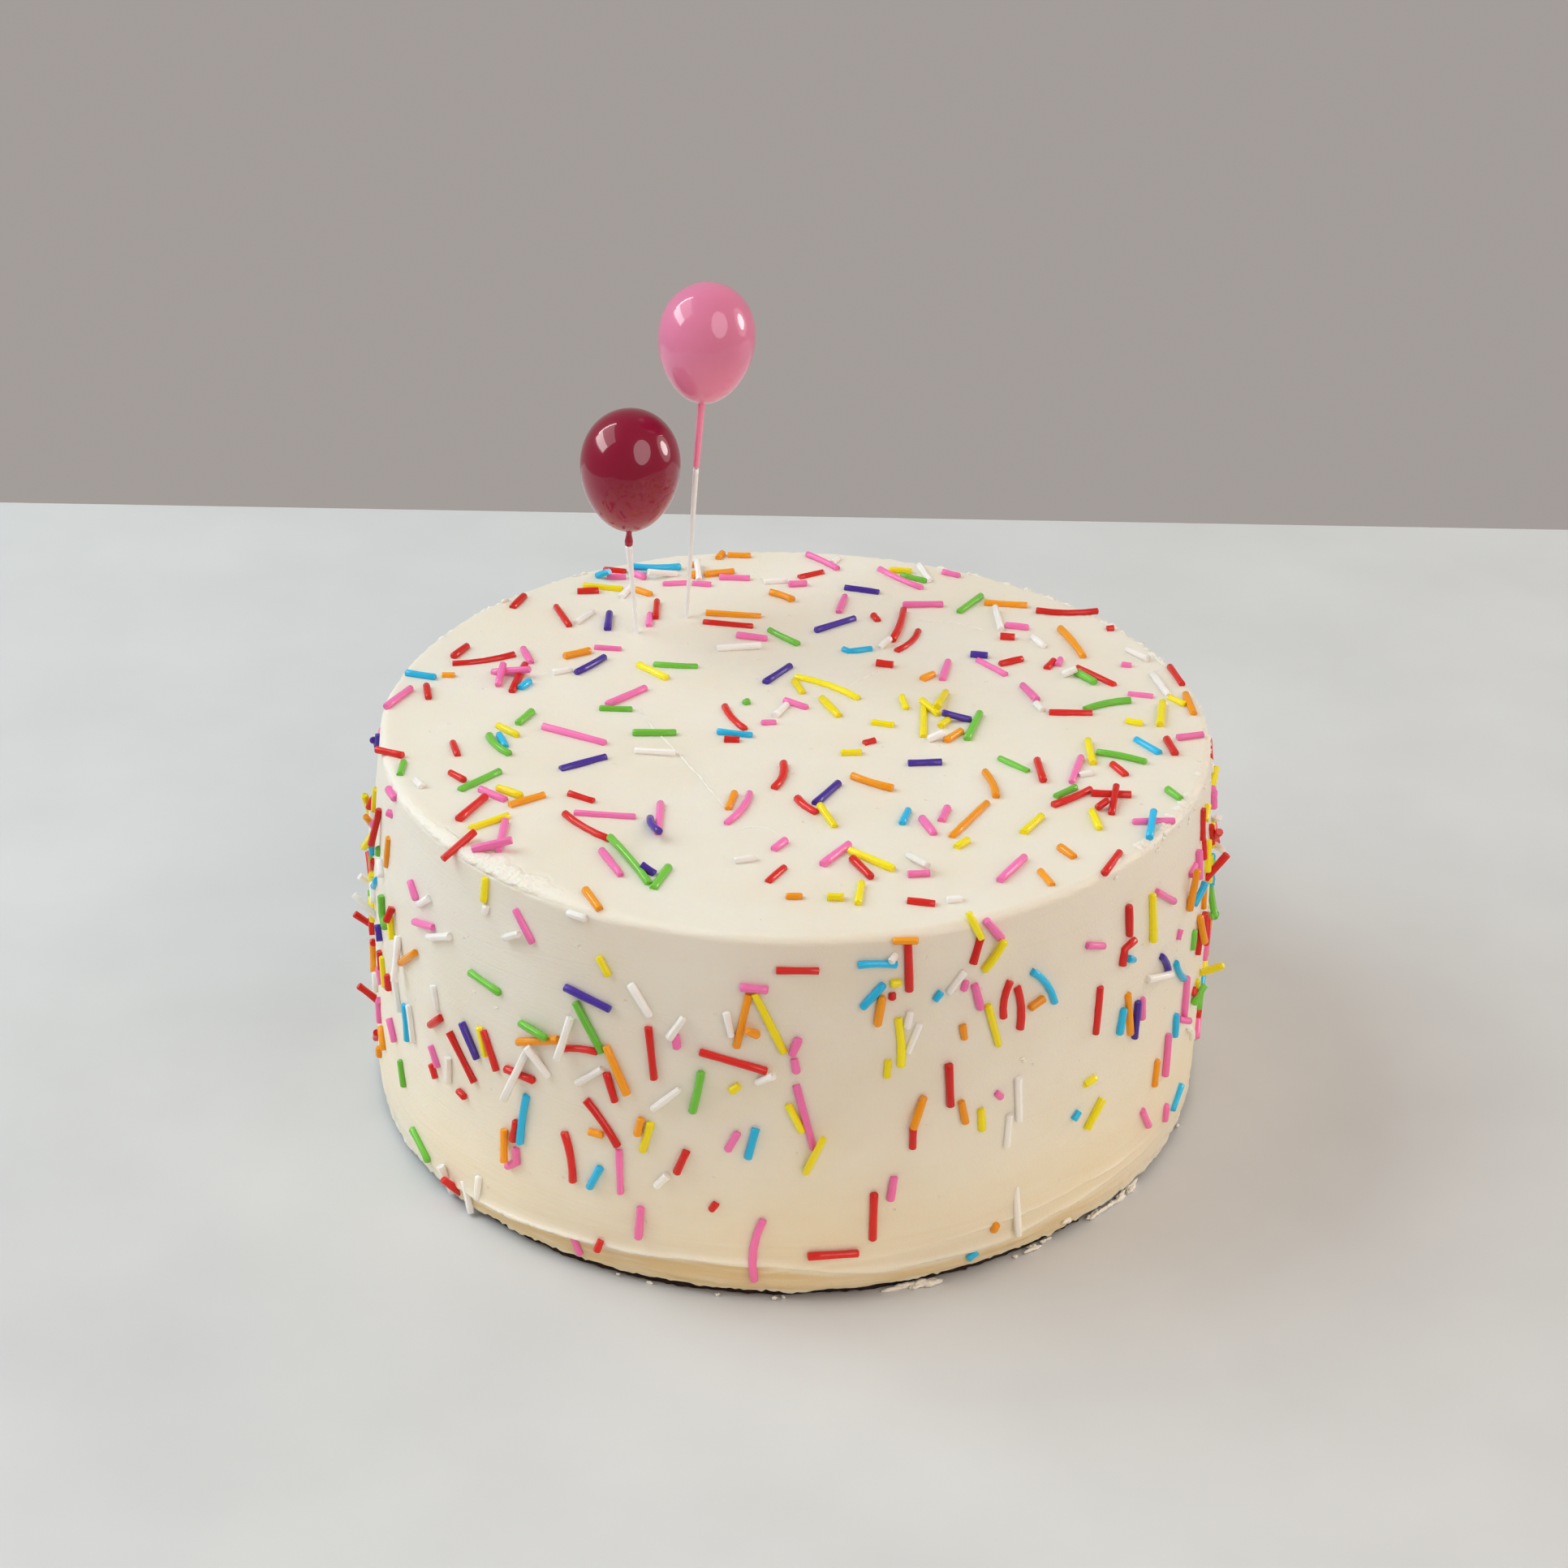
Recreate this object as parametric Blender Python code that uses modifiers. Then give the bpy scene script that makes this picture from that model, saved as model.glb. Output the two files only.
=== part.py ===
"""A round birthday cake covered in smooth pale buttercream, on a thin foot of chocolate sponge, with
two balloon-shaped picks stuck into the back of its top. Metres, +Z up, front of the cake towards -Y."""

import math

import bpy
import numpy as np

# Cake
CAKE_RADIUS = 0.083
CAKE_HEIGHT = 0.0760
TOP_EDGE_INSET = 0.0025
RIM_FILLET = 0.0032
CAKE_STEPS = 96
WALL_ROWS = 9
TOP_RINGS = (0.0, 0.018, 0.036, 0.052, 0.066, 0.0745)

# Scraper band round the foot of the icing
RIDGE_HEIGHT = 0.0052
RIDGE_PROUD = 0.0004
BAND_SET_BACK = 0.0005
LIP_HEIGHT = 0.0011
LIP_SWING = 0.0006
LIP_RIPPLE = 0.00022
LIP_HIGH_AT = math.radians(-70)
LIP_THICKNESS = 0.0009

# Unevenness of the icing
TOP_SLOPE_Y = -0.0105
LEAN_X = 0.0009
LEAN_Y = 0.0006
WALL_WAVES = ((2, 0.00014, 1.8), (3, 0.00072, 0.7))
TOP_WAVES = ((2, 0.00007, 2.1), (3, 0.00029, 2.6))

# Sponge that shows under the icing
FOOT_HEIGHT = 0.0021
FOOT_SET_BACK = 0.0013
GAP = 0.0003

# Balloon picks: all lengths run along the pick
BALLOON_RADIUS = 0.0100
BALLOON_HALF_LENGTH = 0.0128
BALLOON_FULLNESS = 0.11
BALLOON_STEPS = 32
BALLOON_ROWS = 16
STICK_DEPTH = 0.038
STICK_TOP_RADIUS = 0.00058
STICK_ENTRY_RADIUS = 0.00044
STICK_TIP_RADIUS = 0.00034
STICK_STEPS = 12

PINK_ENTRY = (-0.0220, 0.0466)
PINK_LEAN = math.radians(3.2)
PINK_TILT = math.radians(1.0)
PINK_STICK_LENGTH = 0.0335
PINK_NECK_LENGTH = 0.0146
PINK_NECK = ((0.0, 0.00074), (0.6, 0.00070), (1.0, 0.00062))

CRIMSON_ENTRY = (-0.0319, 0.0387)
CRIMSON_LEAN = math.radians(-4.4)
CRIMSON_TILT = math.radians(5.8)
CRIMSON_STICK_LENGTH = 0.0198
CRIMSON_NECK_LENGTH = 0.0036
CRIMSON_NECK = ((0.0, 0.00062), (0.45, 0.00100), (0.8, 0.00074), (1.0, 0.00058))

ICING_COLOUR = (0.86, 0.81, 0.70)
SPONGE_COLOUR = (0.035, 0.014, 0.008)
PINK_COLOUR = (0.73, 0.24, 0.39)
CRIMSON_COLOUR = (0.20, 0.012, 0.034)
STICK_COLOUR = (0.78, 0.76, 0.74)


def clear_scene():
    """Removes whatever the scene holds."""
    for obj in list(bpy.data.objects):
        bpy.data.objects.remove(obj, do_unlink=True)


def make_collection(name, parent):
    """A collection linked under its parent."""
    made = bpy.data.collections.new(name)
    parent.children.link(made)
    return made


def make_material(name, colour, roughness):
    """A plain Principled material."""
    material = bpy.data.materials.new(name)
    material.use_nodes = True
    shader = material.node_tree.nodes["Principled BSDF"]
    shader.inputs["Base Color"].default_value = (*colour, 1.0)
    shader.inputs["Roughness"].default_value = roughness
    shader.inputs["Metallic"].default_value = 0.0
    return material


def turned(name, profile, steps, home):
    """A solid turned about Z from (radius, height) points that run from the top down the outside."""
    mesh = bpy.data.meshes.new(name)
    points = [(radius, 0.0, height) for radius, height in profile]
    mesh.from_pydata(points, [(i, i + 1) for i in range(len(points) - 1)], [])
    obj = bpy.data.objects.new(name, mesh)
    home.objects.link(obj)
    screw = obj.modifiers.new("Turn", "SCREW")
    screw.steps = steps
    screw.render_steps = steps
    screw.use_merge_vertices = True
    screw.merge_threshold = 0.00005
    screw.use_smooth_shade = True
    return obj


def settle_modifiers(obj):
    """Turns the object's evaluated shape into its own mesh, so that it can be shaped further."""
    graph = bpy.context.evaluated_depsgraph_get()
    mesh = bpy.data.meshes.new_from_object(obj.evaluated_get(graph))
    obj.modifiers.clear()
    obj.data = mesh


def move_points(obj, shift):
    """Moves every point of the object's mesh by what shift(points) gives."""
    mesh = obj.data
    points = np.empty(len(mesh.vertices) * 3)
    mesh.vertices.foreach_get("co", points)
    points = points.reshape(-1, 3)
    mesh.vertices.foreach_set("co", (points + shift(points)).ravel())
    mesh.update()


def waves(angle, terms):
    """The sum of amplitude * sin(count * angle + phase) over the (count, amplitude, phase) terms."""
    return sum(size * np.sin(count * angle + phase) for count, size, phase in terms)


def wall_radius(height):
    """The icing's radius at a height: upright up to the middle, then drawn in towards the rim."""
    upper = np.clip((height / CAKE_HEIGHT - 0.45) / 0.55, 0, 1)
    return CAKE_RADIUS - TOP_EDGE_INSET * upper**2


def top_height(x, y):
    """How far the top stands above its nominal height: it falls to the back and its rim waves."""
    angle = np.arctan2(y, x)
    share = np.hypot(x, y) / CAKE_RADIUS
    return TOP_SLOPE_Y * y + share**2 * waves(angle, TOP_WAVES)


def lip_height(angle):
    """The height of the icing's ragged lower edge, which lifts off the board at the front right."""
    ripple = 0.6 * np.sin(17 * angle + 0.7) + 0.4 * np.sin(31 * angle + 2.0)
    return LIP_HEIGHT + LIP_SWING * np.cos(angle - LIP_HIGH_AT) + LIP_RIPPLE * ripple


def uneven_icing(points):
    """Waves the wall in and out, leans the cake and makes the lower lip ragged."""
    x, y, z = points.T
    radius = np.hypot(x, y)
    angle = np.arctan2(y, x)
    share = np.clip(z / CAKE_HEIGHT, 0, 1)
    outward = waves(angle, WALL_WAVES) * (radius / CAKE_RADIUS) ** 4
    lift = share**2 * top_height(x, y)
    lip = z < FOOT_HEIGHT
    lift = np.where(lip, lip_height(angle) - LIP_HEIGHT, lift)
    safe = np.maximum(radius, 1e-9)
    along_x = outward * x / safe + LEAN_X * (share - 0.6)
    along_y = outward * y / safe + LEAN_Y * (share - 0.2)
    return np.stack([along_x, along_y, lift], axis=1)


def cake_profile():
    """The icing's outline: flat top, rounded rim, full wall, ridge and band, lip and the recess that
    takes the sponge foot."""
    rim = wall_radius(CAKE_HEIGHT) + 0.0002
    centre = (rim - RIM_FILLET, CAKE_HEIGHT - RIM_FILLET)
    profile = [(radius, CAKE_HEIGHT) for radius in TOP_RINGS]
    for step in range(6):
        turn = math.radians(90 - 80 * step / 5)
        profile.append((centre[0] + RIM_FILLET * math.cos(turn), centre[1] + RIM_FILLET * math.sin(turn)))
    top, bottom = centre[1] - 0.002, RIDGE_HEIGHT + 0.0028
    for row in range(WALL_ROWS):
        height = top + (bottom - top) * row / (WALL_ROWS - 1)
        profile.append((float(wall_radius(height)), height))
    foot = float(wall_radius(0.0))
    lip = foot - BAND_SET_BACK
    inner = lip - LIP_THICKNESS
    profile.append((foot + RIDGE_PROUD, RIDGE_HEIGHT + 0.0006))
    profile.append((foot + RIDGE_PROUD, RIDGE_HEIGHT))
    profile.append((lip, RIDGE_HEIGHT - 0.0009))
    profile.append((lip - 0.0001, FOOT_HEIGHT + 0.0008))
    profile.append((lip - 0.0002, LIP_HEIGHT))
    profile.append((inner, LIP_HEIGHT))
    profile.append((inner, FOOT_HEIGHT + GAP))
    profile.append((0.0, FOOT_HEIGHT + GAP))
    return profile


def foot_profile():
    """The outline of the sponge disc under the icing."""
    radius = float(wall_radius(0.0)) - BAND_SET_BACK - LIP_THICKNESS - GAP
    return [
        (0.0, FOOT_HEIGHT),
        (radius - 0.0003, FOOT_HEIGHT),
        (radius, FOOT_HEIGHT - 0.0004),
        (radius, 0.0003),
        (radius - 0.0003, 0.0),
        (0.0, 0.0),
    ]


def uneven_foot(points):
    """The icing's own waves at its foot, so that the gap between the two stays even."""
    x, y, _ = points.T
    radius = np.hypot(x, y)
    outward = waves(np.arctan2(y, x), WALL_WAVES) * (radius / CAKE_RADIUS) ** 4
    safe = np.maximum(radius, 1e-9)
    along_x = outward * x / safe - LEAN_X * 0.6
    along_y = outward * y / safe - LEAN_Y * 0.2
    return np.stack([along_x, along_y, 0 * x], axis=1)


def balloon_profile(neck, neck_length):
    """A balloon about its own centre: an ellipse, fuller above, that runs smoothly into a thin neck.
    The neck is given as (share of its length, radius) points."""
    profile = []
    for row in range(BALLOON_ROWS):
        turn = math.pi * row / BALLOON_ROWS
        egg = BALLOON_RADIUS * math.sin(turn) * (1 + BALLOON_FULLNESS * math.cos(turn))
        blend = neck[0][1] if turn > 0.75 * math.pi else 0.0
        radius = (egg**3 + blend**3) ** (1 / 3)
        profile.append((radius, BALLOON_HALF_LENGTH * math.cos(turn)))
    start = -BALLOON_HALF_LENGTH
    profile.append((neck[0][1] * 1.25, start - 0.0001))
    for share, radius in neck[1:] if neck_length < 0.005 else neck:
        profile.append((radius, start - 0.0009 - share * (neck_length - 0.0009)))
    profile.append((0.0, start - neck_length))
    return profile


def stick_profile(length):
    """A thin rod about the point where it enters the cake, thickest at its top."""
    return [
        (0.0, length),
        (STICK_TOP_RADIUS, length),
        (STICK_ENTRY_RADIUS, 0.0),
        (STICK_TIP_RADIUS, -STICK_DEPTH + 0.001),
        (0.0, -STICK_DEPTH),
    ]


def entry_point(entry):
    """The point on the cake's top at which a pick goes in."""
    return (*entry, CAKE_HEIGHT + float(top_height(*entry)))


def add_pick(name, entry, lean, tilt, stick_length, neck, neck_length, colours, home, helpers):
    """A stick that leans about Y, with a balloon at its top tilted by a further angle, and the cutter
    for its hole in the cake. Gives the cutter."""
    base = entry_point(entry)
    stick = turned("stick_" + name, stick_profile(stick_length - GAP), STICK_STEPS, home)
    stick.location = base
    stick.rotation_euler = (0.0, lean, 0.0)
    stick.data.materials.append(colours["stick"])

    balloon = turned("balloon_" + name, balloon_profile(neck, neck_length), BALLOON_STEPS, home)
    reach = neck_length + BALLOON_HALF_LENGTH
    joint = (base[0] + stick_length * math.sin(lean), base[1], base[2] + stick_length * math.cos(lean))
    turn = lean + tilt
    balloon.location = (joint[0] + reach * math.sin(turn), joint[1], joint[2] + reach * math.cos(turn))
    balloon.rotation_euler = (0.0, turn, 0.0)
    balloon.data.materials.append(colours[name])

    hole = STICK_ENTRY_RADIUS + GAP
    outline = [
        (0.0, 0.004),
        (hole, 0.004),
        (hole, -STICK_DEPTH - GAP),
        (0.0, -STICK_DEPTH - GAP - 0.0004),
    ]
    cutter = turned("hole_" + name, outline, STICK_STEPS, helpers)
    cutter.location = base
    cutter.rotation_euler = (0.0, lean, 0.0)
    cutter.hide_render = True
    cutter.display_type = "WIRE"
    return cutter


def add_cut(target, cutter):
    """Cuts the cutter's shape out of the target."""
    cut = target.modifiers.new("Cut " + cutter.name, "BOOLEAN")
    cut.operation = "DIFFERENCE"
    cut.solver = "EXACT"
    cut.object = cutter


def main():
    clear_scene()
    home = make_collection("birthday_cake", bpy.context.scene.collection)
    helpers = make_collection("cutters", bpy.context.scene.collection)
    colours = {
        "icing": make_material("icing", ICING_COLOUR, 0.55),
        "sponge": make_material("sponge", SPONGE_COLOUR, 0.9),
        "pink": make_material("pink_gloss", PINK_COLOUR, 0.12),
        "crimson": make_material("crimson_gloss", CRIMSON_COLOUR, 0.12),
        "stick": make_material("stick_plastic", STICK_COLOUR, 0.35),
    }

    cake = turned("frosted_cake", cake_profile(), CAKE_STEPS, home)
    cake.data.materials.append(colours["icing"])
    settle_modifiers(cake)
    move_points(cake, uneven_icing)

    foot = turned("sponge_foot", foot_profile(), CAKE_STEPS, home)
    foot.data.materials.append(colours["sponge"])
    settle_modifiers(foot)
    move_points(foot, uneven_foot)

    cutters = [
        add_pick(
            "pink", PINK_ENTRY, PINK_LEAN, PINK_TILT, PINK_STICK_LENGTH,
            PINK_NECK, PINK_NECK_LENGTH, colours, home, helpers,
        ),
        add_pick(
            "crimson", CRIMSON_ENTRY, CRIMSON_LEAN, CRIMSON_TILT, CRIMSON_STICK_LENGTH,
            CRIMSON_NECK, CRIMSON_NECK_LENGTH, colours, home, helpers,
        ),
    ]
    for cutter in cutters:
        add_cut(cake, cutter)


main()
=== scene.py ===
"""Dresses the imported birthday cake: scraped buttercream, chocolate sponge foot, sugar sprinkles and two
balloon picks, on a pale studio floor. Metres, +Z up, the front of the cake towards -Y."""

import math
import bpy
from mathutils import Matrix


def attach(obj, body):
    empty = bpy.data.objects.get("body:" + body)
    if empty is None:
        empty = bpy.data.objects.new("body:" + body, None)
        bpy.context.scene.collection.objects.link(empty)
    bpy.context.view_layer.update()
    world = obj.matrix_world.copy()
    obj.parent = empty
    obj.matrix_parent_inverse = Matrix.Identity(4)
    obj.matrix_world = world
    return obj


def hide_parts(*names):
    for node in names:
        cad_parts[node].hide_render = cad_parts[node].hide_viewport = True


bl_info = {
    "name": "Birthday cake with balloon picks",
    "version": (1, 0, 0),
    "blender": (4, 5, 0),
    "location": "3D View > Sidebar > Cake",
    "description": "Builds a buttercream cake with sugar sprinkles and balloon picks",
    "category": "Add Mesh",
}

import bpy
import numpy as np
from bpy.props import FloatProperty, FloatVectorProperty, IntProperty, PointerProperty
from mathutils import Matrix

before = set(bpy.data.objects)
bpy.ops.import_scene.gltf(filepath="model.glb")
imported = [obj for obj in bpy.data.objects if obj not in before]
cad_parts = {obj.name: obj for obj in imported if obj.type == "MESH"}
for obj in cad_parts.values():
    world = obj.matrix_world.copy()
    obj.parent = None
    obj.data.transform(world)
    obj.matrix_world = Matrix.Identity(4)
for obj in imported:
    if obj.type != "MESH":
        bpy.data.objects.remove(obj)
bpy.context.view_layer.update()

MM = 0.001

# The solids' own sizes, as in the part's source: how the top falls to the back, how far the cake leans,
# the waves of wall and top as (count round, amplitude, phase), the torn lip, the band above it, the
# sponge foot and the gap between foot and icing
TOP_SLOPE_Y = -0.0105
LEAN_X, LEAN_Y = 0.9 * MM, 0.6 * MM
WALL_WAVES = ((2, 0.14 * MM, 1.8), (3, 0.72 * MM, 0.7))
TOP_WAVES = ((2, 0.07 * MM, 2.1), (3, 0.29 * MM, 2.6))
LIP_HEIGHT, LIP_SWING, LIP_RIPPLE, LIP_HIGH_AT = 1.1 * MM, 0.6 * MM, 0.22 * MM, math.radians(-70)
LIP_THICKNESS, BAND_SET_BACK = 0.9 * MM, 0.5 * MM
FOOT_HEIGHT, GAP = 2.1 * MM, 0.3 * MM

# Each pick: its balloon's size against the larger one's, where it enters the top, its lean and the
# balloon's own tilt in degrees, the bare stick's length above the icing, the length of the painted neck,
# and the outlines of neck and stick as (share of length, radius)
PICKS = {
    "pink": dict(
        scale=0.97, entry=(-22.0 * MM, 46.6 * MM), lean=3.2, tilt=1.0, stick=33.5 * MM, neck_length=14.6 * MM,
        neck=((0.0, 0.78 * MM), (0.3, 0.72 * MM), (0.8, 0.68 * MM), (1.0, 0.64 * MM)),
        stick_radius=((0.0, 0.40 * MM), (0.55, 0.46 * MM), (1.0, 0.60 * MM)),
    ),
    "crimson": dict(
        scale=1.0, entry=(-31.9 * MM, 38.7 * MM), lean=-4.4, tilt=5.8, stick=19.8 * MM, neck_length=3.6 * MM,
        neck=((0.0, 0.52 * MM), (0.35, 0.58 * MM), (0.75, 0.86 * MM), (1.0, 0.78 * MM)),
        stick_radius=((0.0, 0.42 * MM), (0.6, 0.48 * MM), (0.85, 0.62 * MM), (1.0, 0.78 * MM)),
    ),
}

# Where loose strands fell on the sides and back: degrees round and their spread, height in mm and its
# spread, how many
WALL_DRIFTS = ((-176, 14, 42, 19, 80), (-6, 10, 44, 19, 54), (70, 30, 40, 18, 60), (130, 22, 45, 16, 44))
# The stretch of wall that holds only the listed strands, as its middle and half width in degrees, and
# the heights between which loose strands stick
BY_HAND_AT, BY_HAND_REACH = math.radians(-88), math.radians(63)
LOOSE_FROM, LOOSE_TO, SPARSE_UNDER = 7 * MM, 73.2 * MM, 16 * MM
# Each kind of strand: name, colour and share of the jar
SPRINKLE_KINDS = (
    ("red", "dc1c12", 0.235),
    ("pink", "ff7bbf", 0.19),
    ("orange", "ffa000", 0.12),
    ("yellow", "ffea00", 0.145),
    ("green", "72c83e", 0.085),
    ("blue", "22c0f6", 0.065),
    ("indigo", "482aa2", 0.05),
    ("white", "fefcf7", 0.11),
)

# The scraper's ridges round the foot: degrees round, height in mm, and how proud as a share
RIDGES = (
    (
        (-180, 4.6, 0.1), (-141, 4.2, 0.1), (-136, 4.3, 0.7), (-130, 5.0, 0.85), (-120, 6.5, 0.9),
        (-110, 7.1, 0.95), (-100, 8.4, 0.9), (-92, 8.4, 0.6), (-84, 6.4, 0.5), (-70, 5.6, 0.55),
        (-60, 5.8, 0.55), (-50, 6.8, 0.5), (-40, 7.4, 0.3), (-30, 7.2, 0.08), (0, 6.6, 0.1),
        (70, 7.2, 0.4), (130, 6.4, 0.4), (180, 5.0, 0.1),
    ),
    (
        (-180, 9.5, 0.0), (-100, 6.4, 0.0), (-92, 6.2, 0.35), (-84, 8.6, 0.3), (-70, 9.6, 0.25),
        (-62, 10.3, 0.6), (-50, 10.6, 0.75), (-40, 10.2, 0.6), (-30, 9.6, 0.1), (-10, 9.0, 0.0),
        (180, 9.5, 0.0),
    ),
    (
        (-180, 3.4, 0.0), (-112, 3.8, 0.0), (-100, 3.4, 0.4), (-88, 3.3, 0.45), (-70, 3.2, 0.2),
        (-50, 4.4, 0.4), (-36, 4.6, 0.0), (180, 3.4, 0.0),
    ),
)

# Fine raised seams on the top: corners in mm, height and half width
TOP_SEAMS = (
    (((-31, 7), (-27, -4), (-22, -13), (-12, -35)), 0.16 * MM, 0.30 * MM),
    (((-12, -44), (-9, -42), (-6, -41), (-4, -42), (-2, -45)), 0.10 * MM, 0.24 * MM),
    (((24, 47), (32, 46), (41, 41)), 0.10 * MM, 0.25 * MM),
    (((11, 16), (14, 20), (17, 23)), 0.12 * MM, 0.25 * MM),
)
# Torn burrs along the rim: name, from and to in degrees round, distance in from the rim's outer edge,
# width and height in mm, and how much of it is missing
RIM_BURRS = (
    ("rim_burr_right", -44, -12, 1.4, 3.0, 0.26, 0.7),
    ("rim_burr_back", 6, 78, 0.8, 2.2, 0.42, 0.7),
    ("rim_burr_far_left", 134, 160, 0.9, 1.6, 0.25, 0.8),
)
# Degrees round and half width of the burr pushed over the rim, its paler torn strip, whose paleness is
# partly a painted highlight, the strip's widest place, the clean front of the rim, and the rough stretch
# at the back right
BURR, TORN, RAGGED, CLEAN, ROUGH_BACK = (-146, 24), (-141, 28), (-129, 13), (-105, 62), (35, 60)
# Lumps of icing: angle, spread, height in mm or None on the floor, how many, shortest and longest in mm
LUMPS = (
    (-71.5, 2.0, None, 9, 3.0, 5.2),
    (-53.5, 1.8, None, 12, 1.0, 2.0),
    (-48.5, 0.1, 2.6, 1, 2.4, 2.4),
    (-42, 0.7, None, 5, 2.8, 3.8),
    (-38, 1.2, None, 7, 2.0, 3.4),
    (-34.8, 0.7, None, 4, 3.0, 4.2),
    (-100, 45, None, 8, 0.6, 1.6),
    (45, 40, 74.6, 40, 0.5, 1.3),
    (-24, 12, 73.6, 16, 0.5, 1.5),
    (132, 5, 75.5, 5, 1.0, 2.2),
    (-58, 0.5, 45, 2, 0.8, 1.3),
    (-133, 1.5, 50, 4, 0.5, 0.9),
)
# How the listed strands are bent and settle. A bend of more degrees than HOOK_FROM is a sharp hook. The
# set on the top is shifted, in mm, and sheared. The set on the wall is drawn in to the front, which is
# FRONT degrees round, and raised to its right.
HOOK_FROM, FRONT = 50, -90
TOP_SHIFT, TOP_SHEAR, WALL_DRAW, WALL_RISE = (-0.3, -1.4), (0.0022, 0.0034), -0.0124, 0.011
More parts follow.
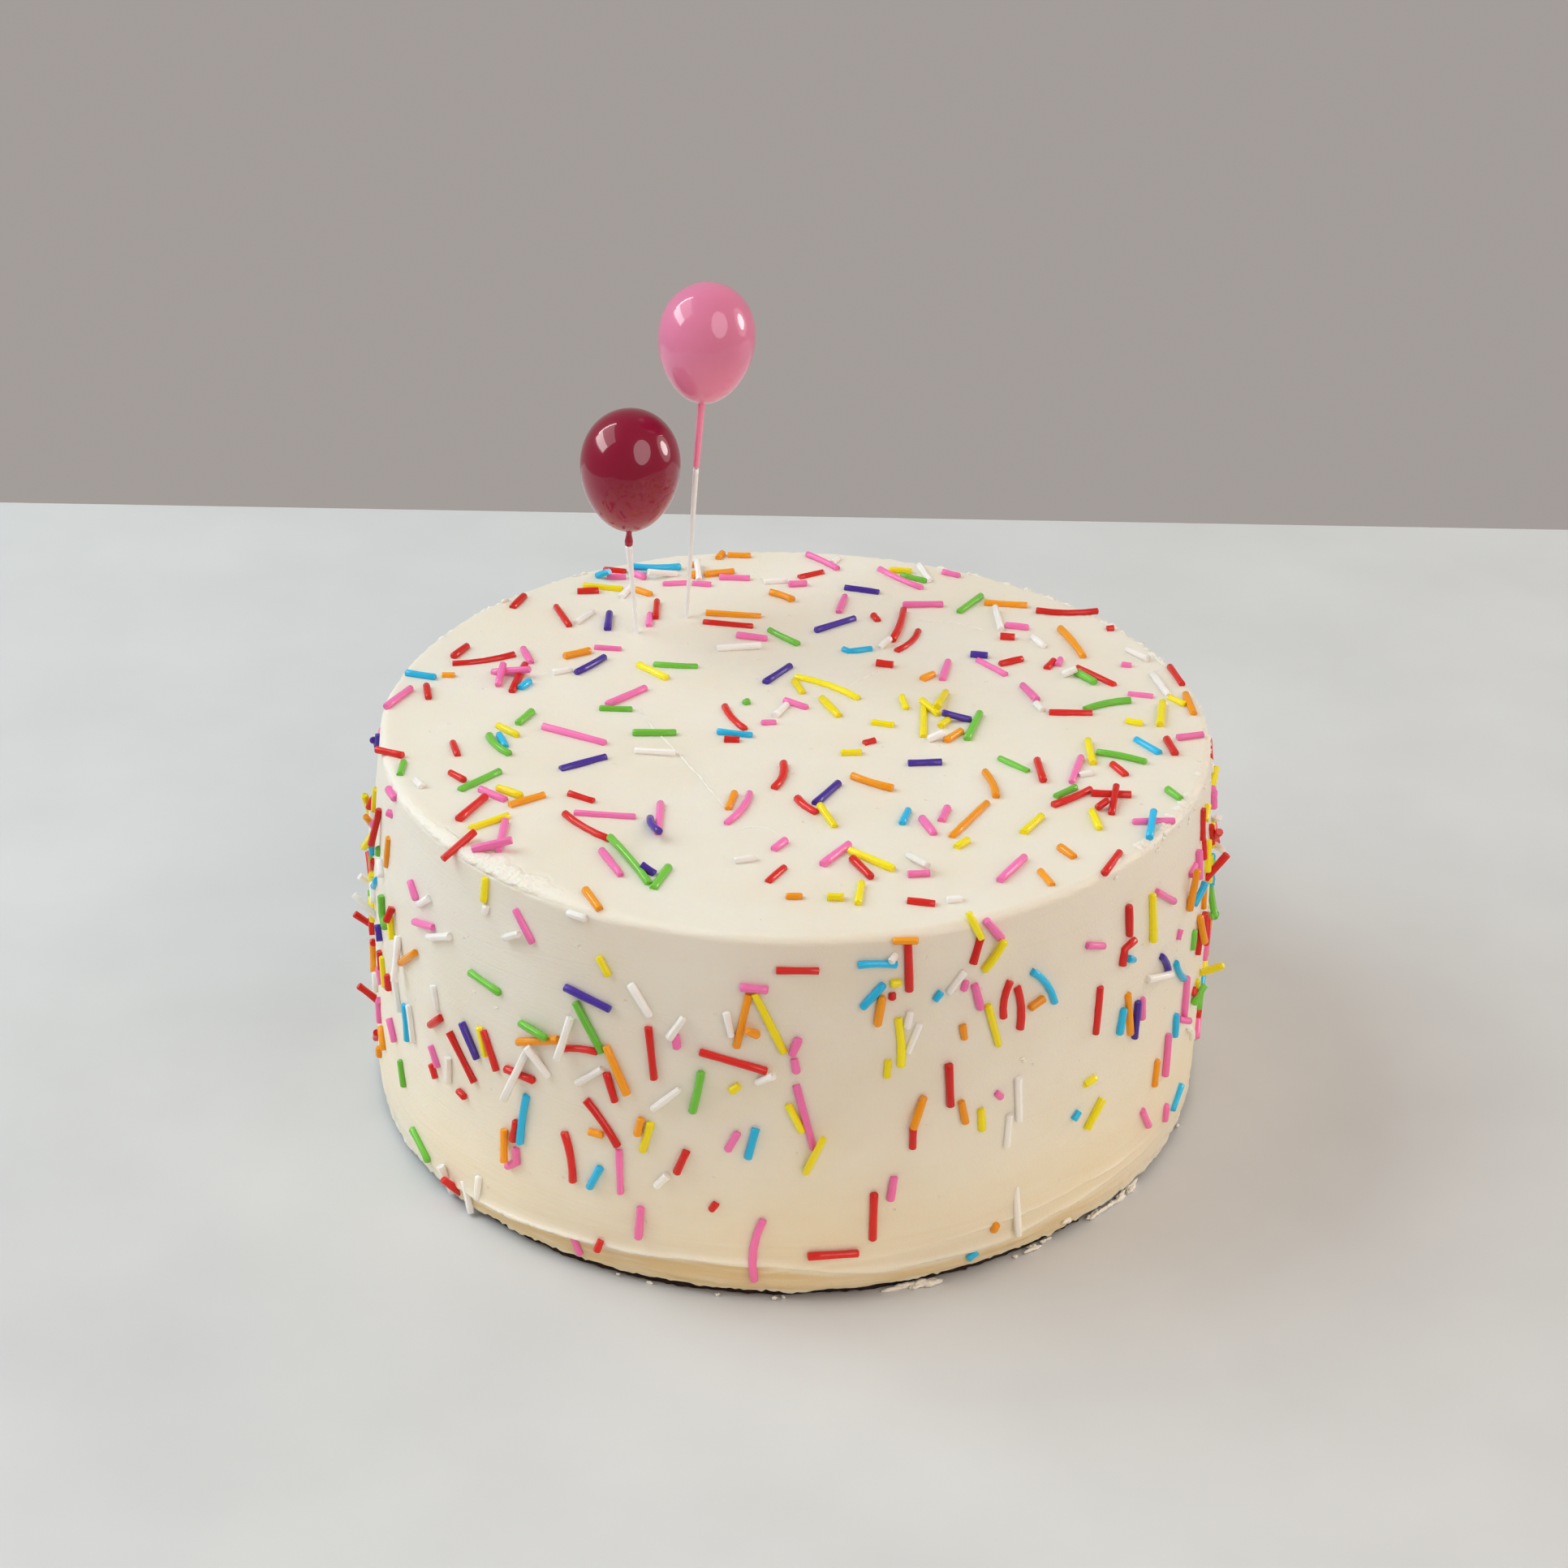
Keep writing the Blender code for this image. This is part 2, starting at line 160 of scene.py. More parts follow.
# Strands listed one by one on the top: x and y in mm, degrees from +X, length in mm and, where bent, by how
# many degrees
TOP_LAID = {
    "red": (
        (-38, 68.5, -10, 5), (-43, 58, 5, 4.5), (-57, 53, 70, 6), (-47.5, 46.5, -70, 10), (-28.5, 50, 90, 8),
        (-13.5, 44, -8, 10.5), (-62, 26, 20, 13, 28), (-67, 29.5, 65, 6), (-72, 11, -80, 5.5),
        (-54.5, 18, 82, 12.5), (-64.5, -12, -75, 6), (-77, -14.5, -25, 6), (-63, -24, -50, 5),
        (-59, -36.5, 65, 10), (-60, -50, 42, 8), (-39, -31, -28, 5.5), (-37.2, -42.4, -45, 13, 25),
        (-2, -21, 80, 10, 38), (-11.3, 2.5, -67, 11, 26), (-11.5, -6.7, 0, 3), (-2.3, -58, 60, 6),
        (3.5, 69, 30, 6), (17, 48.5, -70, 3), (18.5, 26.5, -12, 3.5), (15, -7, 30, 2.5), (3, -32.5, -58, 7, 28),
        (13, -56, -62, 7.5), (23.5, -67, -8, 5), (47.3, -18, -85, 8.5), (62.3, -17, -62, 5),
        (52.8, -28.3, 41, 10, 15), (60.2, -26.8, -2, 7.5), (60.5, -30, 80, 9), (58.3, -32, 30, 3),
        (58.8, -52.3, 65, 8), (72.8, -7.3, -80, 6.5), (60.5, 23.3, -46, 10.5), (54.5, 6.3, 0, 8.5),
        (44, 28.7, 28, 5.5), (51.8, 28, 65, 4), (43.8, 39.8, -3, 3), (56.8, 52.5, 2, 13, 35),
        (21.7, 44.7, 80, 15, 12), (23.6, 37.7, 64, 11, 38), (76.3, 24, -80, 9), (65, 45, 10, 1.5),
    ),
    "pink": (
        (-33, 66, -40, 4), (-37.5, 65, 0, 4), (-29.7, 45.2, 90, 5.5), (-12.7, 66, 0, 6.5), (-25, 62.5, 10, 5.5),
        (-19.5, 62.5, -5, 4), (-8.5, 38, -12, 6.5), (-37.5, 32, -7, 5.5), (-53.5, 28, -72, 7),
        (-77.5, 8.5, 63, 9), (-56, 19.5, -15, 8.5), (-58, 17.7, 85, 7), (-75.5, -28, 0, 4.5),
        (-55.6, -31, -38, 6.5), (-52.5, -46.5, 88, 11), (-53.7, -51.3, 3, 7.5), (-32.7, 10.7, 45, 10.5),
        (-42, -5.8, -27, 14), (-34.2, -37.4, -4, 11.5), (-24.1, -38, 90, 12), (-32, -55, -66, 10),
        (-9.4, -33.7, 71, 13, 30), (-1.8, -47.7, 57, 4), (6, 75.5, -46, 9.5, -12), (0.7, 63.8, 10, 4),
        (10, 54.7, 80, 8), (0.7, 8.5, -33, 5.5), (-4.5, 0.5, 5, 3), (25.4, -40, -70, 6.5),
        (28.6, -35.3, 76, 5.5), (8.4, -51.3, 57, 9), (23.3, -57.7, 8, 4), (40.3, -55.3, 60, 10),
        (54.2, -17.5, 76, 10.5), (67.5, -37, 5, 8), (68.7, 15, -12, 5), (76.8, -3, 18, 5.5), (47, 15, -70, 7.5),
        (40, 26.3, -50, 8.5), (53.6, 29, 75, 3), (67, 28.5, -10, 2), (46, 44.8, -12, 5), (27, 54.7, 3, 8.5),
        (30.6, 24.5, 80, 8.5), (22.5, 67.8, -47, 13, 16), (33.5, 70.5, -28, 4),
    ),
    "orange": (
        (-21.5, 72, 80, 2), (-21.5, 66.5, 70, 2), (-16, 68, 20, 6.5), (-12, 77.5, 0, 5), (-16, 77, 70, 3),
        (-12.5, 48.5, -3, 11.5), (-2.6, 57.7, -37, 6, -25), (-31.5, 58, -35, 4), (-43.5, 29, 30, 6),
        (-68.5, 18.8, -5, 2.5), (-49, -33, 35, 7.5), (-34.5, -67.5, -65, 7), (-11, -30.7, 80, 6.5),
        (1, -65.5, 0, 3), (15.3, -23.5, -32, 9, 16), (33.2, -37, 62, 15.5), (37.8, -23.5, -80, 10, -22),
        (46.4, -58, -70, 5.5), (50.7, -48.7, -57, 4.5), (56.8, 38, -73, 13.5, -12), (44.3, 55.7, -4, 9),
        (27, 21.5, 45, 3.5), (31.3, -4.2, 52, 5.5), (77.8, 11, -85, 9),
    ),
    "yellow": (
        (-40, 60, -10, 8.5), (-28, 21.5, -46, 8.5), (-55, -4.5, -43, 6), (-52.5, -30.2, -35, 6),
        (-55.3, -41.5, 38, 8.5), (7, 16.3, -35, 15.5, -32), (1.2, 16.2, -72, 6), (7.5, 7.5, -66, 8.5),
        (17.7, 0.7, -15, 4.5), (11.5, -11.5, 5, 4), (6.8, -37.5, -63, 6.5), (31.5, -46.5, 50, 3.5),
        (14.8, -53, -38, 10), (8.3, -66, 0, 3), (12.6, -64.5, 84, 7), (44.8, -38.7, 59, 7.5),
        (57.3, -10.3, -88, 9.5), (56.7, -36.7, -82, 7), (66.5, 2.5, -18, 3.5), (72, 6.3, 82, 10),
        (75.5, 12.3, -50, 4.5), (22, 10, -80, 5), (25.7, 2.5, 88, 14), (27, 7, -50, 5.5), (29.4, 10.3, 77, 9.5),
        (29.7, 1, 60, 3.5), (22.7, 71.5, -4, 5),
    ),
    "green": (
        (-2, 38.5, -48, 9, 8), (-23.5, 24.5, -5, 9, 12), (-52, 1.2, 65, 6), (-56.3, -10.5, -60, 9.5, 32),
        (-74, -20.5, 88, 5.5), (-58.5, -25.5, 48, 10.5), (-26.5, -4.5, 3, 8.5), (-34.5, 5.5, 0, 6.5),
        (-28.7, -54.5, -62, 17, -8), (-22.8, -59.7, 72, 8), (-9, 9, 40, 1.4), (42.4, -15.4, -45, 7.5),
        (63.1, -12.2, -22, 10, -16), (51.7, -26.2, 42, 5.5), (72, -26.5, -60, 4.5), (58.3, 22.3, -52, 6),
        (61.8, 10, 25, 10.5, -30), (36.9, 55.5, 57, 9.5), (35.3, 0, 75, 11.5), (25.4, 68, -30, 6),
    ),
    "blue": (
        (-29.5, 69, 12, 11, 28), (-40, 64.5, -35, 4), (-74, 18.5, -18, 6.5), (-53, 14.7, 60, 3.5),
        (-55.7, -8.5, -72, 5.5), (-11, -4.3, -9, 7), (13, 33.3, -12, 6.5, 60), (21.3, -36.7, 76, 5.5),
        (66.9, -39.5, 80, 8), (68.4, -7.2, -54, 7),
    ),
    "indigo": (
        (-38, 44, 90, 7.5), (-3, 21.5, 57, 9.5), (-40.5, 24, 55, 9.5, 12), (-39.5, -17.3, 33, 10),
        (-24.9, -42.6, -76, 8.5, 28), (-25.3, -57.8, -25, 3), (14.3, 61.8, -15, 7.5), (8.6, 44.7, 38, 10.5),
        (25.5, -15, 5, 6.5), (6.8, -27.7, 62, 9.5), (37.7, 31.3, -10, 3.5), (32, 2.8, 0, 6),
    ),
    "white": (
        (-28, 66, 20, 6.5), (-35, 58.5, 70, 6), (-43, 46, 60, 6.5), (-20.5, 68, 95, 8), (-70, -27, -60, 3.5),
        (-26, -12.5, -5, 8), (-11, 33, 8, 9), (8.7, 76.5, 60, 3), (-2.2, 5.7, 65, 5.5), (23.2, -54, -60, 7),
        (28, -5.5, 15, 3.5), (48.5, 8.5, -70, 3.5), (18.8, 35.5, 45, 3.5), (42.3, 48, -85, 10),
        (27.8, 70.5, -75, 8), (55.5, 23.5, 0, 3), (-8, -53, 15, 4), (29.5, -66, 10, 3), (69.5, 33, -50, 6),
        (73, 20, -76, 10), (50, 38, -60, 5), (56, -19, 20, 3), (-46, 21, 25, 4), (-4, 65, 10, 5),
    ),
}
# And on the wall: degrees round, height in mm, degrees from upright, length, and the bend
WALL_LAID = {
    "red": (
        (-89, 70, 90, 7.5), (-75, 69.5, -2, 10), (-77, 64, 0, 1.4), (-96.6, 51.8, -76, 12.5),
        (-98.6, 20.7, 30, 2), (-102.8, 29.7, 20, 5.5), (-107, 51.5, -7, 10.5), (-112.3, 42.7, -17, 6),
        (-117, 48.5, 77, 8, -20), (-131.3, 40.6, -25, 8), (-137, 35.3, -43, 10.5), (-137.2, 27, -80, 2.5),
        (-144, 27, -30, 3), (-142.8, 39, 47, 5.5), (-126, 38.7, 88, 7), (-126.8, 26, 10, 5),
        (-113.4, 34.7, -38, 10.5, 15), (-118.2, 25, -10, 10.5, 22), (-113.8, 6.9, 15, 2.5),
        (-65.7, 69.8, 18, 5), (-61.3, 58.6, 10, 7.5, -38), (-59.2, 56, -5, 9, 28), (-45.7, 48.4, 3, 10),
        (-39.8, 63.3, 0, 6.5), (-40.2, 57.3, 45, 6.5, -70), (-69, 44, -4, 9), (-73.6, 34.2, 0, 4.5),
        (-78.3, 18.1, 0, 10.5), (-83.3, 10.3, 90, 9.5), (-14, 43, 0, 7), (-9, 38, -3, 6.5), (-16, 67, 2, 6.5),
        (-139.3, 4.5, -15, 6),
    ),
    "pink": (
        (-94.3, 66.5, 93, 5), (-89, 55.3, 20, 3.5), (-88.9, 51.4, -10, 3), (-87.5, 40.7, -14, 14),
        (-96.4, 35.2, 25, 4.5), (-108.2, 14.8, 4, 7), (-103.8, 54.8, -8, 3), (-143.7, 30.5, -33, 4.5),
        (-146, 57.4, 72, 7.5), (-149.3, 62.3, -50, 4), (-126, 69, -43, 7), (-127.3, 19.4, 25, 6.5, 55),
        (-111, 25, -2, 9.5), (-117.6, 5, -25, 5), (-63.4, 73.2, -35, 5.5), (-67.3, 63.5, 20, 2),
        (-65.5, 60.8, -14, 5.5), (-46.6, 62.2, -68, 5), (-30.7, 62.3, -52, 9), (-35.8, 42.2, -5, 5),
        (-61.7, 38.9, -40, 2), (-76, 23.8, 7, 5), (-93, 11.5, 6, 14, -34), (-32.3, 15, -30, 6),
        (-25.5, 10.5, 0, 4), (-27.4, 25.5, 0, 9.5), (-21.5, 33.5, -3, 10), (-21, 61, 85, 4),
        (-18.5, 60.3, 3, 6), (-26, 51, 30, 2),
    ),
    "orange": (
        (-75.5, 74.6, 90, 4.5), (-78.6, 61.5, 8, 6), (-95.6, 60, 11, 11), (-94.4, 58.3, -52, 3),
        (-108.3, 35.9, 12, 4), (-111.5, 46.6, -26, 10), (-123, 47.5, 67, 10), (-150.3, 47.3, 48, 9),
        (-128.4, 21.9, -8, 6.5), (-114.3, 32, 88, 3), (-67.3, 54.3, -8, 3), (-56.6, 55.8, 72, 3.5),
        (-39, 43.3, -11, 10), (-66.9, 37.6, -12, 5), (-73.2, 39.8, 22, 6.5), (-61, 9.3, 0, 2),
        (-30.3, 23.7, 2, 6), (-22.8, 58.3, 3, 9), (-15, 51, 0, 6),
    ),
    "yellow": (
        (-76.6, 66.5, 90, 2), (-92.3, 59.8, -25, 13), (-88.7, 40.5, -25, 6.5), (-86.2, 33.4, 18, 10),
        (-96.3, 46.5, 45, 2), (-107.4, 33.8, 14, 7), (-113.8, 66.5, -33, 4), (-132.8, 41.5, -15, 6),
        (-133.2, 72.4, 0, 5), (-66, 74.6, -20, 5.5), (-63.4, 68.4, 31, 7, 22), (-63.1, 54.1, -15, 9.5),
        (-34.3, 60.4, 0, 10), (-46.3, 33.5, 85, 3), (-45, 25.5, 37, 6.5), (-64.1, 34.7, -6, 5),
        (-75.8, 54.6, -4, 10, 14), (-77.3, 49.5, 3, 3.5), (-13, 58, 8, 6.5),
    ),
    "green": (
        (-101, 45, 10, 9, 8), (-115.5, 53.8, -32, 10.5), (-123.5, 49.7, -88, 7), (-132.3, 54.3, -85, 8.5),
        (-148, 6.5, -65, 8, 15), (-153.8, 18.5, -20, 5.5),
    ),
    "blue": (
        (-79, 70.5, 95, 7, -14), (-79.5, 64.5, 42, 6), (-71, 62.7, 40, 2), (-94, 35, 12, 6.5),
        (-125.5, 29.3, 9, 11.5, -10), (-114.4, 22.4, 24, 6), (-55.3, 58.6, -33, 10, 38), (-39.7, 55.5, -57, 4),
        (-24.8, 42, -40, 9, -26), (-40.7, 42.9, 8, 5.5), (-48.5, 27.4, 45, 2), (-64, 3.6, 60, 2.3),
        (-24.8, 30, 0, 5), (-21, 10, 60, 6),
    ),
    "indigo": (
        (-115.8, 59.5, -79, 9.5), (-135.2, 40.2, -35, 7.5), (-30.3, 47.8, -32, 7, 38), (-37.3, 40.9, 2, 8),
    ),
    "white": (
        (-77.2, 71.5, 60, 2), (-97.3, 59.2, -12, 5), (-92.4, 49.3, 48, 4.5), (-104.9, 42.7, 44, 7.5),
        (-105.3, 25, 37, 3.5), (-108.7, 61.5, -35, 7), (-103.8, 57.5, 31, 5), (-118, 74.6, 90, 4),
        (-118.7, 50.5, 12, 9), (-115.3, 43.7, 48, 7), (-142, 57.6, 63, 8), (-146.3, 62, 50, 5),
        (-132.8, 68.7, 10, 2), (-127.4, 66.7, 57, 5.5), (-126.2, 38.8, 19, 12), (-122.8, 43.5, -35, 7),
        (-141, 4.5, -12, 6.5), (-136.5, 4, -25, 6.5), (-134, 8, 5, 5.5), (-140.2, 30.2, 5, 6),
        (-143, 44, -15, 5), (-153, 45, -20, 9), (-155, 36, -15, 8), (-68.5, 64.6, 42, 5), (-32.6, 47, -74, 7.5),
        (-58.7, 36.7, -4, 9.5), (-60, 30.5, 3, 7), (-74, 54.9, 22, 6), (-74.8, 58.9, 10, 3.5),
        (-57.6, 11.2, 0, 10.5), (-150, 33, -10, 8),
    ),
}


# The studio, in metres: the floor's left, right, front and back edges, and what lamps and camera face
FLOOR_EDGES, FLOOR_LINES = (-0.36, 0.6, -0.38, 0.262), 9
LAMP_AIM, CAMERA_AIM = np.array([0, 0.01, 0.07]), np.array([-1.245 * MM, 0, 62.416 * MM])
TO_WINDOW, TO_SOFTBOX, TO_SIDE = (-0.73, 0.084, 0.679), (0.48, -0.65, 0.585), (0.931, 0.195, 0.308)
TO_REAR, TO_CARD = (0.80, 0.35, 0.50), (-1.0, -0.25, 0.16)
# Each lamp: name, direction, distance, shift across and up, width and height, roll in degrees, which of
# the powers and how much of it, tint, and whether it lights the body or shows in the gloss alone. Lamps
# that show in the gloss hang a little nearer, so that the others don't hide them.
LAMPS = (
    ("window", TO_WINDOW, 1.05, (0, 0), (0.86, 0.96), 0, "window", 1.0, "edfdff", "diffuse"),
    ("pane_fill", TO_WINDOW, 1.02, (0.06, -0.08), (0.80, 0.72), 0, "panes", 0.9, "fffdfb", "gloss"),
    ("pane_side", TO_WINDOW, 1.0, (0.04, -0.26), (0.76, 0.27), 0, "panes", 1.1, "fffdfb", "gloss"),
    ("pane_top", TO_WINDOW, 1.0, (-0.37, 0.02), (0.07, 0.60), 0, "panes", 0.4, "fffdfb", "gloss"),
    ("softbox", TO_SOFTBOX, 1.0, (0, 0), (0.68, 0.98), 0, "softbox", 1.0, "ffe5cb", "diffuse"),
    ("round_glare", TO_SOFTBOX, 0.97, (0, 0), (0.70, 0.95), -20, "glare", 1.0, "fffcfd", "gloss"),
    ("small_glare", TO_SIDE, 0.8, (0, 0), (0.24, 0.32), -20, "glare", 0.44, "fffcf8", "gloss"),
    ("glare_halo", TO_SIDE, 0.82, (0, 0), (0.50, 0.62), -20, "glare", 0.24, "fff9f9", "gloss"),
    ("rear_fill", TO_REAR, 1.1, (0, 0), (0.6, 0.6), 0, "rear", 1.0, "fff9eb", "diffuse"),
    ("card", TO_CARD, 0.9, (0, 0), (0.7, 0.4), 0, "card", 1.0, "ffa787", "diffuse"),
)
# The ring of small warm lamps that stand in for light thrown up from a golden cake board
BOUNCES, BOUNCE_SIZE, BOUNCE_TINT = 8, (30 * MM, 78 * MM), "ffdb53"
BOUNCE_RING, BOUNCE_HEIGHT = 106 * MM, 0.8 * MM
ROOM_TINT = "fff5ef"


def from_hex(text):
    """The linear RGB of an sRGB hex colour."""
    share = np.array([int(text[i : i + 2], 16) for i in (0, 2, 4)]) / 255
    linear = np.where(share <= 0.04045, share / 12.92, ((share + 0.055) / 1.055) ** 2.4)
    return tuple(float(value) for value in linear)


def length(name, description, default):
    """A length property."""
    return FloatProperty(name=name, description=description, default=default, unit="LENGTH", precision=5)


def power(name, lamp, default):
    """A lamp's power as a property."""
    return FloatProperty(name=name, description="Power of " + lamp, default=default, unit="POWER")


def colour(name, description, text):
    """A colour property from an sRGB hex value."""
    return FloatVectorProperty(
        name=name, description=description, default=from_hex(text), subtype="COLOR", min=0.0, max=1.0
    )


class CakeIcing(bpy.types.PropertyGroup):
    """Sizes and colours of the buttercream and the sponge under it"""

    radius: length("Radius", "The wall's radius at its fullest", 83.0 * MM)
    height: length("Height", "Height of the iced cake", 76.0 * MM)
    top_inset: length("Top inset", "How far the wall draws in at the rim", 2.5 * MM)
    rim_fillet: length("Rim rounding", "Radius of the rounded rim", 1.8 * MM)
    ridge_proud: length("Ridge depth", "How far the scraper's ridge stands out at its fullest", 0.75 * MM)
    undulation: length("Undulation", "Depth of the icing's slow waves", 0.11 * MM)
    columns: IntProperty(name="Columns", description="Faces round the cake", default=640, min=64)
    cream: colour("Cream", "The buttercream's main colour", "eeeadf")
    butter: colour("Butter", "Its slightly deeper streaks", "eae3d3")
    # The paler colour of torn, airy icing, and also a painted highlight on the ridge crests, seams and rim
    broken_and_highlight: colour("Broken", "Its paler colour where it is torn and full of air", "fbf8ee")
    # Painted warm reflection of a golden cake board: the colour under the first ridge and, fainter, on the
    # lower wall
    painted_board_glow: colour("Foot", "The thin butter-yellow smear under the ridge", "dfc79a")
    sponge: colour("Sponge", "Chocolate sponge at the foot", "34170b")


class CakeSprinkles(bpy.types.PropertyGroup):
    """Sizes and numbers of the sugar sprinkles"""

    thickness: length("Thickness", "Diameter of a sprinkle", 1.47 * MM)
    wall_count: IntProperty(name="On the back", description="Evenly scattered on the back", default=60, min=0)
    seed: IntProperty(name="Seed", description="Start of the random scatter", default=7)


class CakePicks(bpy.types.PropertyGroup):
    """Sizes and colours of the balloon picks"""

    radius: length("Balloon radius", "Half the balloon's width", 10.0 * MM)
    half_length: length("Half length", "Half the balloon's length without its neck", 12.8 * MM)
    fullness: FloatProperty(name="Fullness", description="How much fuller the upper half is", default=0.11)
    stick_depth: length("Stick depth", "How deep a stick goes into the cake", 38.0 * MM)
    pink: colour("Pink", "Coat of the pink balloon", "e985ad")
    crimson: colour("Crimson", "Coat of the crimson balloon", "8e0030")
    stick: colour("Stick", "Milky plastic of the sticks", "f6f9ff")


class CakeStage(bpy.types.PropertyGroup):
    """The floor, lights and camera"""

    floor: colour("Floor", "Pale studio floor", "d6d9dc")
    lens: FloatProperty(name="Lens", description="Focal length", default=77.07, unit="CAMERA")
    distance: length("Distance", "From the camera to the point it looks at", 660.0 * MM)
    elevation: FloatProperty(
        name="Elevation", description="Camera above the horizon", default=math.radians(29.2), subtype="ANGLE"
    )
    roll: FloatProperty(name="Roll", description="Camera's roll", default=math.radians(1.0), subtype="ANGLE")
    window: power("Window", "the large window", 8.4)
    panes: power("Panes", "the window's bright panes, seen in gloss", 3.9)
    softbox: power("Softbox", "the round softbox", 3.45)
    glare: power("Glare", "the softbox seen in gloss", 5.0)
    rear: power("Rear", "the fill from the back right", 3.0)
    card: power("Card", "the low warm card", 0.44)
    bounce: power("Bounce", "each warm lamp round the foot", 0.0044)
    room: FloatProperty(name="Room", description="Strength of the room's own light", default=0.37)


# Shapes


def waves(angle, terms):
    """The sum of amplitude * sin(count * angle + phase) over the (count, amplitude, phase) terms."""
    return sum(size * np.sin(count * angle + phase) for count, size, phase in terms)


def ramp(value, low, high):
    """0 at low and 1 at high, smooth between: 3t^2 - 2t^3 of the clipped share t."""
    share = np.clip((value - low) / (high - low), 0, 1)
    return share * share * (3 - 2 * share)


def bell(value, centre, width):
    """exp(-((value - centre) / width)^2)."""
    return np.exp(-(((value - centre) / width) ** 2))


def turn_from(angle, centre):
    """The signed angle from centre to angle, between -pi and pi."""
    return (angle - centre + math.pi) % (2 * math.pi) - math.pi


def bell_round(angle, centre, width):
    """The bell of the turn from centre, with centre and width in degrees round the cake."""
    return bell(turn_from(angle, math.radians(centre)), 0, math.radians(width))


def circle(angle, radius=1.0):
    """The points radius * (cos, sin, 0) of the angles."""
    return radius * np.stack([np.cos(angle), np.sin(angle), 0 * angle], axis=-1)


def rolled(right, over, angle):
    """Two axes at right angles, both turned by the angle in their own plane."""
    return right * math.cos(angle) + over * math.sin(angle), over * math.cos(angle) - right * math.sin(angle)


def placed(right, up, back, origin):
    """The matrix whose columns are the three axes and the origin."""
    matrix = np.eye(4)
    matrix[:3, 0], matrix[:3, 1], matrix[:3, 2], matrix[:3, 3] = right, up, back, origin
    return Matrix(matrix.tolist())


def swell(points, wavelength, seed, count=20):
    """Smooth noise of unit size: the scaled sum of sines that run in random directions, each with a
    wavelength near the one given."""
    rng = np.random.default_rng(seed)
    direction = rng.normal(size=(3, count))
    direction /= np.linalg.norm(direction, axis=0)
    turns = 2 * math.pi / (wavelength * rng.uniform(0.7, 1.4, count))
    phase = rng.uniform(0, 2 * math.pi, count)
    return np.sin(points @ (direction * turns) + phase).sum(axis=-1) * math.sqrt(2 / count)


def unit(vectors):
    """The vectors at length one."""
    return vectors / np.maximum(np.linalg.norm(vectors, axis=-1, keepdims=True), 1e-12)


def grid_normals(points):
    """Outward normals of a grid whose rows run down and whose columns close round: the cross product
    of the central differences along the two."""
    down = np.gradient(points, axis=0)
    across = np.roll(points, -1, axis=1) - np.roll(points, 1, axis=1)
    return unit(np.cross(down, across))


def make_object(name, vertices, faces, flat=()):
    """A smooth mesh object from points and faces. Faces at the indices in flat stay flat."""
    mesh = bpy.data.meshes.new(name)
    mesh.from_pydata(vertices.reshape(-1, 3).tolist(), [], faces)
    smooth = np.ones(len(faces), bool)
    smooth[list(flat)] = False
    mesh.polygons.foreach_set("use_smooth", smooth)
    mesh.update()
    obj = bpy.data.objects.new(name, mesh)
    bpy.context.scene.collection.objects.link(obj)
    return obj


def closed_surface(name, points):
    """One mesh of closed surfaces, given as surfaces by rings by sides by xyz, or as the rings of a single
    one. Rings run from the top down and turn left, so faces point out, and a point at the mean of each
    end ring closes it."""
    points = points.reshape(-1, *points.shape[-3:])
    rows, columns = points.shape[1:3]
    each = rows * columns + 2
    ends = np.stack([points[:, 0].mean(axis=1), points[:, -1].mean(axis=1)], axis=1)
    vertices = np.concatenate([points.reshape(len(points), -1, 3), ends], axis=1)
    ring = np.arange(rows * columns).reshape(rows, columns)
    right = np.roll(ring, -1, axis=1)
    quads = np.stack([ring[:-1], ring[1:], right[1:], right[:-1]], axis=-1).reshape(-1, 4)
    top = np.stack([np.full(columns, each - 2), ring[0], right[0]], axis=-1)
    bottom = np.stack([np.full(columns, each - 1), right[-1], ring[-1]], axis=-1)
    first = np.arange(len(points))[:, None, None] * each
    faces = []
    for part in (quads, top, bottom):
        faces += (part[None] + first).reshape(-1, part.shape[1]).tolist()
    return make_object(name, vertices, faces)


def add_point_value(obj, name, values):
    """Keeps one number for each point of the mesh, which its material reads as an attribute."""
    layer = obj.data.attributes.new(name, "FLOAT", "POINT")
    layer.data.foreach_set("value", np.asarray(values, np.float32).ravel())


def wall_radius(size, height):
    """The icing's radius at a height: upright up to the middle, then drawn in towards the rim."""
    upper = np.clip((height / size.height - 0.45) / 0.55, 0, 1)
    return size.radius - size.top_inset * upper**2


def top_lift(size, x, y):
    """How far the top stands above its nominal height: it falls to the back and its rim waves."""
    share = np.hypot(x, y) / size.radius
    return TOP_SLOPE_Y * y + share**2 * waves(np.arctan2(y, x), TOP_WAVES)


def lean_and_wave(size, radius, angle, z):
    """Points of the uneven cake from round ones: the wall waves in and out, and the cake leans."""
    share = np.clip(z / size.height, 0, 1)
    wide = radius + waves(angle, WALL_WAVES) * (radius / size.radius) ** 4
    x = wide * np.cos(angle) + LEAN_X * (share - 0.6)
    y = wide * np.sin(angle) + LEAN_Y * (share - 0.2)
    lift = share**2 * top_lift(size, radius * np.cos(angle), radius * np.sin(angle))
    return np.stack(np.broadcast_arrays(x, y, z + lift), axis=-1)


def entry_point(size, entry):
    """The point on the top at which a pick goes in."""
    return np.array([*entry, size.height + float(top_lift(size, *entry))])


